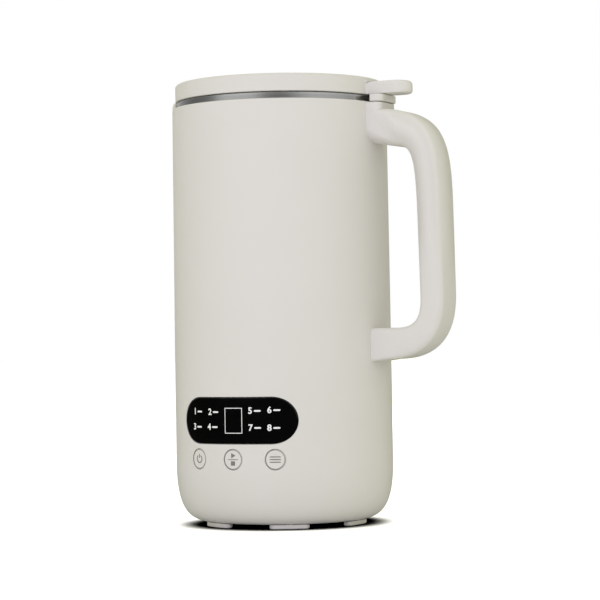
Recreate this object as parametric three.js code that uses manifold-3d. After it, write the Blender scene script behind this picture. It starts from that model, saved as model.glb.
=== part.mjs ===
// Soy milk maker: a mug-shaped body with a steel cup, a blade motor under it and a lift-off lid.
// Millimetres, +Z up. The origin is the centre of the flat underside, on the body axis.
// The control panel faces -Y, the handle +X, the pour lip -X and the mains inlet +Y.

import * as THREE from 'three';
import { mergeVertices } from 'three/addons/utils/BufferGeometryUtils.js';
import Module from 'manifold-3d';

const wasm = await Module();
wasm.setup();

// Clearances shared by every piece
const FIT_GAP = 0.3;
const RUN_GAP = 0.2;
const OVERRUN = 2;

// Body shell
const BODY_RADIUS = 60;
const SHELL_WALL = 2.8;
const BASE_CURVE_HEIGHT = 31.5;
const BASE_CURVE_SHARE = 0.5;
const RIM_HEIGHT = 227.3;
const WALL_DRAFT = 0.55;
const FOOT_DROP = 2.2;
const BASE_CURVE_INSET = 22;
const BASE_LEDGE = 7;
const LEDGE_THICKNESS = 2.2;

// Pour lip, opposite the handle
const LIP_REACH = 5.8;
const LIP_RISE = 7.8;
const LIP_HALF_ANGLE = 25;
const LIP_HEIGHT = 9;

// Steel cup
const CUP_WALL = 0.8;
const CUP_AIR_GAP = 2.6;
const CUP_FLOOR_HEIGHT = 91;
const CUP_CORNER = 12;
const BAND_GAP = 0.5;
const BAND_SHOWN = 3.9;
const FLARE_DROP = 4;
const GASKET_HEIGHT = 1.4;
const SEAL_HOLE = 6.3;

// Lid
const LID_SETBACK = 2.3;
const LID_HEIGHT = 9.7;
const LID_EDGE = 2;
const LID_WALL = 2.2;
const LID_TAB_OVERHANG = 20.5;
const LID_TAB_WIDTH = 15.5;
const LID_TAB_HEIGHT = 6.9;
const LINER_WALL = 1.6;
const LINER_SKIRT = 9;
const LID_SEAL_LIP = 1.2;
const ELECTRODE_RADIUS = 3;
const ELECTRODE_COLLAR = 5.1;
const ELECTRODE_LENGTH = 44;
const ELECTRODE_REACH = 32;

// Handle
const HANDLE_STANDOFF = 41.1;
const HANDLE_WIDTH = 22.4;
const HANDLE_WALL = 2.4;
const HANDLE_ROOT = 4.2;
const GRIP_DEPTH = 13.2;
const GRIP_LEAN = 0.8;
const UPPER_ARM_DROP = 4;
const UPPER_ARM_DEPTH = 18.1;
const UNDERSIDE_SLOPE = 2.8;
const LOWER_ARM_HEIGHT = 86.1;
const LOWER_ARM_DEPTH = 18.5;
const LOWER_ARM_SLOPE = 1.5;
const GRIP_COVER_DROP = 36;

// Corners of the D. The shares say how far each corner's curve is pulled along its two arms.
const OUTER_TOP_CORNER = { run: 43, rise: 56.8, acrossShare: 0.93, downShare: 0.66 };
const OUTER_LOW_CORNER = { run: 33.5, rise: 34.5, acrossShare: 0.34, downShare: 0.92 };
const INNER_TOP_CORNER = { run: 13.7, rise: 45.7, acrossShare: 0.82, downShare: 0.8 };
const INNER_LOW_CORNER = { run: 14.5, rise: 15.4, acrossShare: 0.6, downShare: 0.85 };

// Rounding of the handle's long edges, which changes along the D
const ROOT_EDGE = 8.5;
const GRIP_INNER_EDGE = 2.5;
const GRIP_OUTER_EDGE = 1.8;
const LOWER_INNER_EDGE = 1.2;
const LOWER_OUTER_EDGE = 1;
const BOSS_DEPTH = 6.6;
const BOSS_EDGE = 4.5;
const BOSS_GAP = 0.6;

// Coupler between lid and handle
const COUPLER_OVERHANG = 0.8;
const COUPLER_EDGE = 4;
const PIN_RADIUS = 0.8;
const PIN_SPACING = 8;
const PIN_LENGTH = 7;
const CONTACT_DEPTH = 3.7;
const CONTACT_WIDTH = 13.4;
const CONTACT_HEIGHT = 11.6;

// Control panel
const PANEL_LOW = 44.1;
const PANEL_HEIGHT = 24.7;
const PANEL_HALF_ANGLE = 34.5;
const PANEL_CAP = 14.3;
const LENS_THICKNESS = 1.2;
const WINDOW_WIDTH = 9.5;
const WINDOW_HEIGHT = 13.5;
const DISPLAY_DEPTH = 7.4;
const DISPLAY_RIM = 2;

// Keys
const KEY_HEIGHT = 35.8;
const KEY_DIAMETER = 10.8;
const KEY_SPREAD = 22.5;
const KEY_TRAVEL = 0.8;
const KEY_FLANGE = 1;
const KEY_STEM_RADIUS = 1.6;
const SWITCH_SIZE = 6;
const SWITCH_BODY = 2.6;
const SWITCH_BUTTON = 0.7;

// Control board in its guide rails
const BOARD_THICKNESS = 1.6;
const BOARD_SETBACK = 14.6;
const BOARD_SIDE_GAP = 1.8;
const BOARD_LOW = 26;
const BOARD_TOP = 74;
const RAIL_LIP = 1.8;
const RAIL_REACH = 2.2;

// Motor
const SHAFT_RADIUS = 3;
const SHAFT_LOW = 6;
const BEARING_RADIUS = 9;
const BEARING_HEIGHT = 5;
const BEARING_LIP = 1.2;
const MOTOR_CLEARANCE = 1;
const STACK_LOW = 38;
const STACK_HEIGHT = 22;
const STACK_HALF_X = 28;
const STACK_HALF_Y = 27;
const ARMATURE_RADIUS = 16;
const AIR_GAP = 0.8;
const ARMATURE_SLOTS = 9;
const SLOT_WIDTH = 2.6;
const SLOT_DEPTH_SHARE = 0.6;
const COIL_INNER = 11.7;
const COIL_BAND = 5.6;
const COIL_DEPTH = 6.6;
const WINDING_HEIGHT = 5.5;
const COMMUTATOR_RADIUS = 9;
const COMMUTATOR_HEIGHT = 9.4;
const COMMUTATOR_GROOVE = 0.8;
const BRUSH_WIDTH = 5;
const BRUSH_LENGTH = 11;
const BRUSH_WALL = 1.2;
const BRACKET_RADIUS = 29;
const BRACKET_THICKNESS = 3;
const BRACKET_LEG = 2.6;
const BRACKET_LEG_TURNS = [25, 155, 205, 335];
const CUP_POSTS = 4;
const CUP_POST_TURN = 20;
const FAN_RADIUS = 24;
const FAN_HEIGHT = 6;
const FAN_BLADES = 7;
const FAN_HUB_RADIUS = 7.2;
const FAN_SHEET = 1.4;
const FAN_SWEEP = 30;

// Blade
const BLADE_REACH = 22;
const BLADE_WIDTH = 9;
const BLADE_SHEET = 1.4;
const BLADE_TILT = 24;
const BLADE_HEIGHT = 8.4;
const BLADE_TIP_SHARES = { front: 0.75, width: 0.6, back: 0.9 };
const SPACER_RADIUS = 5.1;
const NUT_HEIGHT = 7;
const NUT_HEX_HEIGHT = 4.2;
const NUT_BORE_HEIGHT = 4.9;
const NUT_ACROSS = 10;

// Heater and sensors under the cup
const HEATER_RADIUS = 34;
const HEATER_WIDTH = 8;
const HEATER_HEIGHT = 6;
const SENSOR_RADIUS = 4;
const SENSOR_HEIGHT = 7;
const SENSOR_REACH = 20;
const SENSOR_TURN = 135;
const SENSOR_CONE_SHARE = 0.6;
const CUTOFF_RADIUS = 6;
const CUTOFF_HEIGHT = 5.6;
const CUTOFF_TURN = -45;
const CUTOFF_TAB = { width: 4, thick: 1, low: 9.8 };

// Power board and its components
const POWER_BOARD_GAP = 3.4;
const POWER_BOARD_WIDTH = 44;
const POWER_BOARD_HEIGHT = 62;
const TRANSFORMER = { wallGap: 8, width: 20, height: 20, rise: 41 };
const RELAY = { wallGap: 12.3, width: 18, height: 15, rise: 21 };
const CAPACITOR = { wallGap: 8.3, radius: 5 };

// Mains inlet
const INLET_HEIGHT = 40;
const INLET_WIDTH = 28;
const INLET_TALL = 21;
const INLET_CLEARANCE = 3.8;
const INLET_RECESS = 2;
const INLET_WALL = 2.1;
const INLET_FLOOR = 3.4;
const INLET_FLANGE = 2;
const INLET_PIN = { width: 4, thick: 2, recess: 5, tail: 5 };
const INLET_PIN_PITCH = 7;
const INLET_PIN_RISE = 3;

// Base cover, screws and feet
const COVER_THICKNESS = 2.4;
const VENT_WIDTH = 2.4;
const VENT_RINGS = 2;
const VENT_INNER = 14;
const VENT_PITCH = 6.4;
const VENT_RIBS = 3;
const VENT_TURN = 30;
const SCREW_RADIUS = 1.4;
const SCREW_HEAD = 2.7;
const SCREW_HEAD_HEIGHT = 1.3;
const BASE_SCREWS = 3;
const FOOT_COUNT = 6;
const FOOT_INSET = 16.9;
const FOOT_DEPTH = 6;
const FOOT_HALF_ANGLE = 14.3;
const FOOT_EDGE = 2;
const FOOT_STEM = 1.7;

// Facets of a full turn
const FINE = 36;
const MEDIUM = 18;
const COARSE = 12;
const SMALL = 6;
const CURVE_STEPS = 2;
const WIDE_CURVE_STEPS = 5;
const KEY_CURVE_STEPS = 8;
const BASE_CURVE_STEPS = 8;

// Sizes that follow from the ones above
const RAD = Math.PI / 180;
const SHELL_INNER = BODY_RADIUS - SHELL_WALL;
const CUP_RADIUS = SHELL_INNER - CUP_AIR_GAP;
const BAND_RADIUS = SHELL_INNER - BAND_GAP;
const BASE_OPENING = BODY_RADIUS - BASE_CURVE_INSET;
const LID_RADIUS = BODY_RADIUS - LID_SETBACK;
const LID_TAB_REACH = BODY_RADIUS + LID_TAB_OVERHANG;
const LID_LOW = RIM_HEIGHT + BAND_SHOWN;
const LID_TOP = LID_LOW + LID_HEIGHT;
const CUP_TOP = LID_LOW - FIT_GAP;
const FLARE_HEIGHT = RIM_HEIGHT - FLARE_DROP;
const GASKET_SEAT = FLARE_HEIGHT - FIT_GAP * 2 - GASKET_HEIGHT;
const LIP_LOW = RIM_HEIGHT - LIP_HEIGHT;
const DRAFT_LOW = PANEL_LOW + PANEL_HEIGHT + OVERRUN;
const CUP_INSIDE_FLOOR = CUP_FLOOR_HEIGHT + CUP_WALL;
const LEDGE_LOW = COVER_THICKNESS + FIT_GAP;
const LEDGE_TOP = LEDGE_LOW + LEDGE_THICKNESS;
const STACK_TOP = STACK_LOW + STACK_HEIGHT;
const PANEL_MIDDLE = PANEL_LOW + PANEL_HEIGHT / 2;
const SHAFT_BORE = SHAFT_RADIUS + RUN_GAP;
const HALF_WIDTH = HANDLE_WIDTH / 2;
const BOSS_FACE = BODY_RADIUS + BOSS_DEPTH;
const BOSS_TOP = RIM_HEIGHT - BOSS_GAP;
const UPPER_ARM_TOP = RIM_HEIGHT - UPPER_ARM_DROP;
const UPPER_ARM_LOW = UPPER_ARM_TOP - UPPER_ARM_DEPTH;
const LOWER_ARM_TOP = LOWER_ARM_HEIGHT + LOWER_ARM_DEPTH;
const HANDLE_REACH = BODY_RADIUS + HANDLE_STANDOFF;
const GRIP_INNER = HANDLE_REACH - GRIP_DEPTH;
const GRIP_COVER_TOP = UPPER_ARM_LOW - GRIP_COVER_DROP;
const BOARD_FRONT = BODY_RADIUS - BOARD_SETBACK;
const BOARD_HALF_WIDTH = Math.sqrt(SHELL_INNER ** 2 - BOARD_FRONT ** 2) - BOARD_SIDE_GAP;
const LEDGE_INNER = BASE_OPENING - BASE_LEDGE;
const POWER_BOARD_PLACE = Math.max(STACK_HALF_X + POWER_BOARD_GAP, LEDGE_INNER + FIT_GAP);
const FOOT_RING = BODY_RADIUS - FOOT_INSET;

// Solids and meshes

function solidOf(geometry) {
  const bare = geometry.clone();
  for (const name of Object.keys(bare.attributes)) {
    if (name !== 'position') bare.deleteAttribute(name);
  }
  const merged = mergeVertices(bare, 1e-5);
  const index = merged.index.array;
  const kept = [];
  for (let i = 0; i < index.length; i += 3) {
    const [a, b, c] = [index[i], index[i + 1], index[i + 2]];
    if (a !== b && b !== c && c !== a) kept.push(a, b, c);
  }
  const mesh = new wasm.Mesh({
    numProp: 3,
    vertProperties: new Float32Array(merged.attributes.position.array),
    triVerts: new Uint32Array(kept),
  });
  return new wasm.Manifold(mesh);
}

function geometryOf(solid) {
  const mesh = solid.getMesh();
  const geometry = new THREE.BufferGeometry();
  const position = new Float32Array(mesh.vertProperties);
  geometry.setAttribute('position', new THREE.BufferAttribute(position, 3));
  geometry.setIndex(new THREE.BufferAttribute(new Uint32Array(mesh.triVerts), 1));
  geometry.computeVertexNormals();
  return geometry;
}

// A ring or disc turned about Z. The profile is a list of [radius, height] and closes by itself.
function turned(profile, segments = MEDIUM) {
  let area = 0;
  profile.forEach(([r, z], i) => {
    const [nextR, nextZ] = profile[(i + 1) % profile.length];
    area += r * nextZ - nextR * z;
  });
  const ordered = area > 0 ? profile : [...profile].reverse();
  const points = ordered.map(([r, z]) => new THREE.Vector2(r, z));
  points.push(points[0].clone());
  return solidOf(new THREE.LatheGeometry(points, segments).rotateX(Math.PI / 2));
}

// A straight tube or rod about a vertical line
function ring(inner, outer, low, high, segments = MEDIUM) {
  return turned([[inner, low], [outer, low], [outer, high], [inner, high]], segments);
}

function rod(radius, low, high, segments = COARSE) {
  const rodShape = new THREE.CylinderGeometry(radius, radius, high - low, segments);
  return solidOf(rodShape.rotateX(Math.PI / 2)).translate([0, 0, (low + high) / 2]);
}

// A rod that lies along Y or X
function rodAlongY(radius, low, high, segments = COARSE) {
  const rodShape = new THREE.CylinderGeometry(radius, radius, high - low, segments);
  return solidOf(rodShape).translate([0, (low + high) / 2, 0]);
}

function rodAlongX(radius, low, high, segments = COARSE) {
  return rodAlongY(radius, low, high, segments).rotate([0, 0, -90]);
}

function block(x, y, z) {
  const size = [x[1] - x[0], y[1] - y[0], z[1] - z[0]];
  const middle = [(x[0] + x[1]) / 2, (y[0] + y[1]) / 2, (z[0] + z[1]) / 2];
  return solidOf(new THREE.BoxGeometry(...size)).translate(middle);
}

function span(middle, size) {
  return [middle - size / 2, middle + size / 2];
}

// An outline in X and Y, pushed up from low to high
function raised(shape, low, high, bevel = {}) {
  const options = { depth: high - low, bevelEnabled: false, curveSegments: CURVE_STEPS, ...bevel };
  return solidOf(new THREE.ExtrudeGeometry(shape, options)).translate([0, 0, low]);
}

// An outline in X and Z, pushed along Y to both sides of the handle plane
function pushed(shape, low, high, bevel = {}) {
  const options = { depth: high - low, bevelEnabled: false, curveSegments: CURVE_STEPS, ...bevel };
  const geometry = new THREE.ExtrudeGeometry(shape, options).rotateX(Math.PI / 2);
  return solidOf(geometry).translate([0, high, 0]);
}

function roundedRectangle(x, y, radius) {
  const shape = new THREE.Shape();
  shape.moveTo(x[0] + radius, y[0]);
  shape.lineTo(x[1] - radius, y[0]);
  shape.absarc(x[1] - radius, y[0] + radius, radius, -Math.PI / 2, 0, false);
  shape.lineTo(x[1], y[1] - radius);
  shape.absarc(x[1] - radius, y[1] - radius, radius, 0, Math.PI / 2, false);
  shape.lineTo(x[0] + radius, y[1]);
  shape.absarc(x[0] + radius, y[1] - radius, radius, Math.PI / 2, Math.PI, false);
  shape.lineTo(x[0], y[0] + radius);
  shape.absarc(x[0] + radius, y[0] + radius, radius, Math.PI, Math.PI * 1.5, false);
  return shape;
}

// A block's outline with its two outer corners rounded, centred on the handle plane
function tongue(from, to, halfWidth, radius) {
  const shape = new THREE.Shape();
  shape.moveTo(from, -halfWidth);
  shape.lineTo(to - radius, -halfWidth);
  shape.absarc(to - radius, radius - halfWidth, radius, -Math.PI / 2, 0, false);
  shape.lineTo(to, halfWidth - radius);
  shape.absarc(to - radius, halfWidth - radius, radius, 0, Math.PI / 2, false);
  shape.lineTo(from, halfWidth);
  return shape;
}

// Points of a quarter fillet in a turned profile, from one angle to another
function fillet(middleR, middleZ, radius, from, to, steps) {
  const points = [];
  for (let i = 0; i <= steps; i += 1) {
    const angle = (from + (to - from) * i / steps) * RAD;
    points.push([middleR + radius * Math.cos(angle), middleZ + radius * Math.sin(angle)]);
  }
  return points;
}

function smoothStep(value) {
  const t = Math.min(Math.max(value, 0), 1);
  return t * t * (3 - 2 * t);
}

// Pushes the rim of a turned solid outwards into the pour lip at -X. The shell's own rim also rises.
function withPourLip(solid, reach, rise) {
  return solid.warp((vertex) => {
    const [x, y, z] = vertex;
    const radius = Math.hypot(x, y);
    const turn = Math.abs(Math.atan2(y, -x)) / (LIP_HALF_ANGLE * RAD);
    if (z <= LIP_LOW || turn >= 1) return;
    const around = Math.cos(turn * Math.PI / 2) ** 2;
    const out = reach * around * smoothStep((z - LIP_LOW) / LIP_HEIGHT);
    const lift = rise * around * smoothStep((z - RIM_HEIGHT + FIT_GAP) / FIT_GAP);
    vertex[0] = x * (radius + out) / radius;
    vertex[1] = y * (radius + out) / radius;
    vertex[2] = z + lift;
  });
}

const root = new THREE.Group();
const finishes = {
  cream: [0xdcd9d2, 0.42, 0],
  black: [0x060606, 0.12, 0],
  steel: [0xb9bbbd, 0.32, 1],
  brass: [0xc9a45a, 0.35, 1],
  copper: [0xb06a3c, 0.4, 1],
  iron: [0x6d7074, 0.55, 1],
  silicone: [0xe8e6e0, 0.7, 0],
  board: [0x1f5a3a, 0.6, 0],
  nylon: [0x2a2b2d, 0.5, 0],
  carbon: [0x26272a, 0.8, 0],
  aluminium: [0xc7c9cb, 0.4, 1],
};

function add(name, solid, finish) {
  const [color, roughness, metalness] = finishes[finish];
  const material = new THREE.MeshStandardMaterial({ color, roughness, metalness });
  const mesh = new THREE.Mesh(geometryOf(solid), material);
  mesh.name = name;
  root.add(mesh);
}

// Outer shell

// The wall is a plain cylinder up to the panel's top and gets a little slimmer from there to the rim
function wallRadius(z) {
  const share = Math.max(z - DRAFT_LOW, 0) / (RIM_HEIGHT - DRAFT_LOW);
  return BODY_RADIUS - WALL_DRAFT * Math.min(share, 1);
}

// The body's edge from the base opening up to the straight wall, moved inwards by an inset
function baseCurve(inset, steps) {
  const across = BASE_CURVE_INSET - inset;
  const corner = new THREE.Vector2(BODY_RADIUS - inset, inset);
  const curve = new THREE.CubicBezierCurve(
    new THREE.Vector2(BASE_OPENING, inset),
    new THREE.Vector2(BASE_OPENING + across * BASE_CURVE_SHARE, inset),
    corner,
    new THREE.Vector2(corner.x, BASE_CURVE_HEIGHT),
  );
  return curve.getSpacedPoints(steps).map((point) => [point.x, point.y]);
}

function shellBlank() {
  const seatRadius = CUP_RADIUS + FIT_GAP * 3;
  const seatLow = GASKET_SEAT - SHELL_WALL;
  const profile = [
    [LEDGE_INNER, LEDGE_LOW],
    [BASE_OPENING, LEDGE_LOW],
    ...baseCurve(0, BASE_CURVE_STEPS),
    [BODY_RADIUS, DRAFT_LOW],
    [wallRadius(LIP_LOW), LIP_LOW],
    [wallRadius(GASKET_SEAT), GASKET_SEAT],
    [wallRadius(FLARE_HEIGHT), FLARE_HEIGHT],
    [wallRadius(RIM_HEIGHT), RIM_HEIGHT - FIT_GAP],
    [wallRadius(RIM_HEIGHT), RIM_HEIGHT],
    [SHELL_INNER, RIM_HEIGHT],
    [SHELL_INNER, RIM_HEIGHT - FIT_GAP],
    [SHELL_INNER, FLARE_HEIGHT],
    [SHELL_INNER, GASKET_SEAT],
    [seatRadius, GASKET_SEAT],
    [seatRadius, seatLow],
    [SHELL_INNER, seatLow - (SHELL_INNER - seatRadius)],
    ...baseCurve(SHELL_WALL, BASE_CURVE_STEPS).filter(([, z]) => z > LEDGE_TOP).reverse(),
    [baseInnerRadius(LEDGE_TOP), LEDGE_TOP],
    [LEDGE_INNER, LEDGE_TOP],
  ];
  return withPourLip(turned(profile, FINE), LIP_REACH, LIP_RISE);
}

// The pill-shaped outline of the panel, seen from the front and grown by a margin
function pillOutline(margin) {
  const halfArc = BODY_RADIUS * PANEL_HALF_ANGLE * RAD + margin;
  const halfHeight = PANEL_HEIGHT / 2 + margin;
  const cap = PANEL_CAP + margin;
  const steps = 10;
  const shape = new THREE.Shape();
  const place = (arc, z) => [BODY_RADIUS * Math.sin(arc / BODY_RADIUS), PANEL_MIDDLE + z];
  for (let i = 0; i <= steps; i += 1) {
    const angle = -Math.PI / 2 + Math.PI * i / steps;
    const [x, z] = place(halfArc - cap + cap * Math.cos(angle), halfHeight * Math.sin(angle));
    if (i === 0) shape.moveTo(x, z);
    else shape.lineTo(x, z);
  }
  for (let i = 0; i <= steps; i += 1) {
    const angle = Math.PI / 2 + Math.PI * i / steps;
    shape.lineTo(...place(cap - halfArc + cap * Math.cos(angle), halfHeight * Math.sin(angle)));
  }
  return shape;
}

function keyAngle(side) {
  return side * KEY_SPREAD * RAD;
}

// A key's outline seen along its travel: a circle on the round wall looks narrower off centre
function keyOutline(side, margin) {
  const radius = KEY_DIAMETER / 2 + margin;
  const shape = new THREE.Shape();
  const x = BODY_RADIUS * Math.sin(keyAngle(side));
  shape.absellipse(x, KEY_HEIGHT, radius * Math.cos(keyAngle(side)), radius, 0, Math.PI * 2, false, 0);
  return shape;
}

function keyPrism(side, margin, near, far) {
  return pushed(keyOutline(side, margin), -near, -far, { curveSegments: KEY_CURVE_STEPS });
}

function railPair() {
  const back = BOARD_FRONT - BOARD_THICKNESS;
  const outer = BOARD_HALF_WIDTH + FIT_GAP + RAIL_REACH;
  const inner = BOARD_HALF_WIDTH - RAIL_LIP;
  const front = BOARD_FRONT + FIT_GAP + RAIL_REACH;
  const rear = back - FIT_GAP - RAIL_LIP;
  const heights = [BOARD_LOW - FIT_GAP - RAIL_LIP, BOARD_TOP];
  const rail = block([inner, outer], [-front, -rear], heights);
  const slot = block(
    [inner - OVERRUN, BOARD_HALF_WIDTH + FIT_GAP],
    [-BOARD_FRONT - FIT_GAP, -back + FIT_GAP],
    [BOARD_LOW - FIT_GAP, BOARD_TOP + OVERRUN],
  );
  const right = rail.subtract(slot);
  return right.add(right.mirror([1, 0, 0]));
}

function inletHole() {
  const half = INLET_WIDTH / 2 + FIT_GAP;
  const tall = INLET_TALL / 2 + FIT_GAP;
  const outline = roundedRectangle([-half, half], [INLET_HEIGHT - tall, INLET_HEIGHT + tall], INLET_WALL);
  return pushed(outline, SHELL_INNER - SHELL_WALL * 2, BODY_RADIUS + OVERRUN);
}

// The places where screws hold the handle roots to the shell
const handleScrewHeights = [
  UPPER_ARM_LOW + UPPER_ARM_DEPTH / 3,
  (LOWER_ARM_TOP + LOWER_ARM_HEIGHT) / 2,
];

function outerShell() {
  let shell = shellBlank().add(railPair());
  const pocketFloor = BODY_RADIUS - LENS_THICKNESS - FIT_GAP;
  const pocket = pushed(pillOutline(FIT_GAP), -BODY_RADIUS - OVERRUN, 0);
  shell = shell.subtract(pocket.subtract(rod(pocketFloor, 0, RIM_HEIGHT, FINE)));
  const window = block(
    span(0, WINDOW_WIDTH),
    [-BODY_RADIUS - OVERRUN, -SHELL_INNER + SHELL_WALL],
    span(PANEL_MIDDLE, WINDOW_HEIGHT),
  );
  shell = shell.subtract(window).subtract(inletHole());
  for (const side of [-1, 0, 1]) {
    shell = shell.subtract(keyPrism(side, FIT_GAP, BODY_RADIUS + OVERRUN, BOARD_FRONT + SWITCH_BODY));
  }
  for (const z of handleScrewHeights) {
    const hole = rodAlongX(SCREW_RADIUS + FIT_GAP, SHELL_INNER - SHELL_WALL, BODY_RADIUS + OVERRUN, SMALL);
    shell = shell.subtract(hole.translate([0, 0, z]));
  }
  for (let i = 0; i < FOOT_COUNT; i += 1) {
    const hole = rod(FOOT_STEM + FIT_GAP, -OVERRUN, LEDGE_TOP + OVERRUN, SMALL);
    shell = shell.subtract(hole.translate([FOOT_RING, 0, 0]).rotate([0, 0, footTurn(i)]));
  }
  for (let i = 0; i < BASE_SCREWS; i += 1) {
    const hole = rod(SCREW_RADIUS + FIT_GAP, 0, LEDGE_TOP + OVERRUN, SMALL);
    shell = shell.subtract(placedBaseScrew(hole, i));
  }
  return shell;
}

// Steel cup and what seals it

function innerCup() {
  const inside = CUP_RADIUS - CUP_WALL;
  const bandInside = BAND_RADIUS - CUP_WALL;
  const step = BAND_RADIUS - CUP_RADIUS;
  const cornerR = CUP_RADIUS - CUP_CORNER;
  const profile = [
    [SEAL_HOLE, CUP_FLOOR_HEIGHT],
    ...fillet(cornerR, CUP_FLOOR_HEIGHT + CUP_CORNER, CUP_CORNER, -90, 0, 3),
    [CUP_RADIUS, LIP_LOW],
    [CUP_RADIUS, GASKET_SEAT - SHELL_WALL],
    [CUP_RADIUS, FLARE_HEIGHT - step],
    [BAND_RADIUS, FLARE_HEIGHT],
    [BAND_RADIUS, RIM_HEIGHT],
    [BAND_RADIUS, CUP_TOP],
    [bandInside, CUP_TOP],
    [bandInside, RIM_HEIGHT],
    [bandInside, FLARE_HEIGHT],
    [inside, FLARE_HEIGHT - step],
    [inside, GASKET_SEAT - SHELL_WALL],
    [inside, LIP_LOW],
    ...fillet(cornerR, CUP_FLOOR_HEIGHT + CUP_CORNER, CUP_CORNER - CUP_WALL, 0, -90, 3),
    [SEAL_HOLE, CUP_INSIDE_FLOOR],
  ];
  return withPourLip(turned(profile, FINE), LIP_REACH - FIT_GAP * 2, 0);
}

function cupGasket() {
  const step = BAND_RADIUS - CUP_RADIUS;
  const low = FLARE_HEIGHT - FIT_GAP - GASKET_HEIGHT;
  const inner = CUP_RADIUS + step / 2;
  const outer = SHELL_INNER - FIT_GAP * 2;
  const high = low + GASKET_HEIGHT;
  const profile = [[inner, low], [outer, low], [outer, high], [inner + step / 2, high]];
  return withPourLip(turned(profile, FINE), LIP_REACH - FIT_GAP * 2, 0);
}

function shaftSeal() {
  const neck = SEAL_HOLE - FIT_GAP;
  const brim = SEAL_HOLE + SHAFT_RADIUS;
  const low = CUP_FLOOR_HEIGHT - FIT_GAP;
  const high = CUP_INSIDE_FLOOR + FIT_GAP;
  return turned([
    [SHAFT_BORE, low - SHAFT_RADIUS],
    [neck, low - SHAFT_RADIUS],
    [brim, low],
    [neck, low],
    [neck, high],
    [brim, high],
    [neck, high + SHAFT_RADIUS],
    [SHAFT_BORE, high + SHAFT_RADIUS],
  ]);
}

function heaterRing() {
  const low = CUP_FLOOR_HEIGHT - FIT_GAP - HEATER_HEIGHT;
  const high = CUP_FLOOR_HEIGHT - FIT_GAP;
  const chamfer = HEATER_HEIGHT / 3;
  const [inner, outer] = span(HEATER_RADIUS, HEATER_WIDTH);
  return turned([
    [inner, high],
    [inner, low + chamfer],
    [inner + chamfer, low],
    [outer - chamfer, low],
    [outer, low + chamfer],
    [outer, high],
  ]);
}

function sensorPlace(turn) {
  return [SENSOR_REACH * Math.cos(turn * RAD), SENSOR_REACH * Math.sin(turn * RAD), 0];
}

function temperatureSensor() {
  const high = CUP_FLOOR_HEIGHT - FIT_GAP;
  const body = turned([
    [0, high - SENSOR_HEIGHT],
    [SENSOR_RADIUS / 2, high - SENSOR_HEIGHT],
    [SENSOR_RADIUS, high - SENSOR_HEIGHT * SENSOR_CONE_SHARE],
    [SENSOR_RADIUS, high],
    [0, high],
  ], COARSE);
  return body.translate(sensorPlace(SENSOR_TURN));
}

function thermalCutoff() {
  const high = CUP_FLOOR_HEIGHT - FIT_GAP;
  const cap = rod(CUTOFF_RADIUS, high - CUTOFF_HEIGHT, high, COARSE);
  const middle = CUTOFF_RADIUS - CUTOFF_TAB.width / 2;
  const heights = [high - CUTOFF_TAB.low, high - CUTOFF_HEIGHT / 2];
  const tab = block(span(middle, CUTOFF_TAB.thick), span(0, CUTOFF_TAB.width), heights);
  return cap.add(tab).add(tab.mirror([1, 0, 0])).translate(sensorPlace(CUTOFF_TURN));
}

// Handle

// One edge of the D, from the upper root through both corners to the lower root
function handleEdge(reach, [topRoot, topEnd, lowEnd, lowRoot], top, low) {
  const start = BODY_RADIUS - SHELL_WALL;
  const gripTop = topEnd - top.rise;
  const gripLow = lowEnd + low.rise;
  const lean = GRIP_LEAN / (gripTop - gripLow);
  const nearTop = top.rise * top.downShare;
  const path = new THREE.Path();
  path.moveTo(start, topRoot);
  path.lineTo(reach - top.run, topEnd);
  path.bezierCurveTo(
    reach - top.run * (1 - top.acrossShare), topEnd,
    reach - GRIP_LEAN - lean * nearTop, gripTop + nearTop,
    reach - GRIP_LEAN, gripTop,
  );
  path.lineTo(reach, gripLow);
  path.bezierCurveTo(
    reach, gripLow - low.rise * low.downShare,
    reach - low.run * (1 - low.acrossShare), lowEnd,
    reach - low.run, lowEnd,
  );
  path.lineTo(start, lowRoot);
  return path.getPoints(10);
}

// Moves a row of points sideways. A positive distance moves to the left of the way it runs.
function offsetRow(points, distance) {
  return points.map((point, i) => {
    const before = points[Math.max(i - 1, 0)];
    const after = points[Math.min(i + 1, points.length - 1)];
    const along = new THREE.Vector2().subVectors(after, before).normalize();
    return new THREE.Vector2(point.x - along.y * distance, point.y + along.x * distance);
  });
}

function bandShape(firstRow, secondRow) {
  return new THREE.Shape([...firstRow, ...[...secondRow].reverse()]);
}

const handleOuterRow = handleEdge(
  HANDLE_REACH,
  [UPPER_ARM_TOP, UPPER_ARM_TOP, LOWER_ARM_HEIGHT + LOWER_ARM_SLOPE, LOWER_ARM_HEIGHT],
  OUTER_TOP_CORNER,
  OUTER_LOW_CORNER,
);
const handleInnerRow = handleEdge(
  GRIP_INNER,
  [UPPER_ARM_LOW, UPPER_ARM_LOW - UNDERSIDE_SLOPE, LOWER_ARM_TOP, LOWER_ARM_TOP],
  INNER_TOP_CORNER,
  INNER_LOW_CORNER,
);

// Rounding of the two inner and two outer edges where the inner edge has the given point
function handleEdges({ x, y: z }) {
  const blend = (from, to, share) => from + (to - from) * Math.min(Math.max(share, 0), 1);
  if (z > GRIP_COVER_TOP - INNER_LOW_CORNER.rise) {
    const share = (GRIP_INNER - GRIP_LEAN - x) / (GRIP_INNER - BODY_RADIUS);
    return { inner: blend(GRIP_INNER_EDGE, ROOT_EDGE, share), outer: GRIP_OUTER_EDGE };
  }
  const share = (GRIP_INNER - x) / INNER_LOW_CORNER.run;
  return {
    inner: blend(GRIP_INNER_EDGE, LOWER_INNER_EDGE, share),
    outer: blend(GRIP_OUTER_EDGE, LOWER_OUTER_EDGE, share),
  };
}

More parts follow.
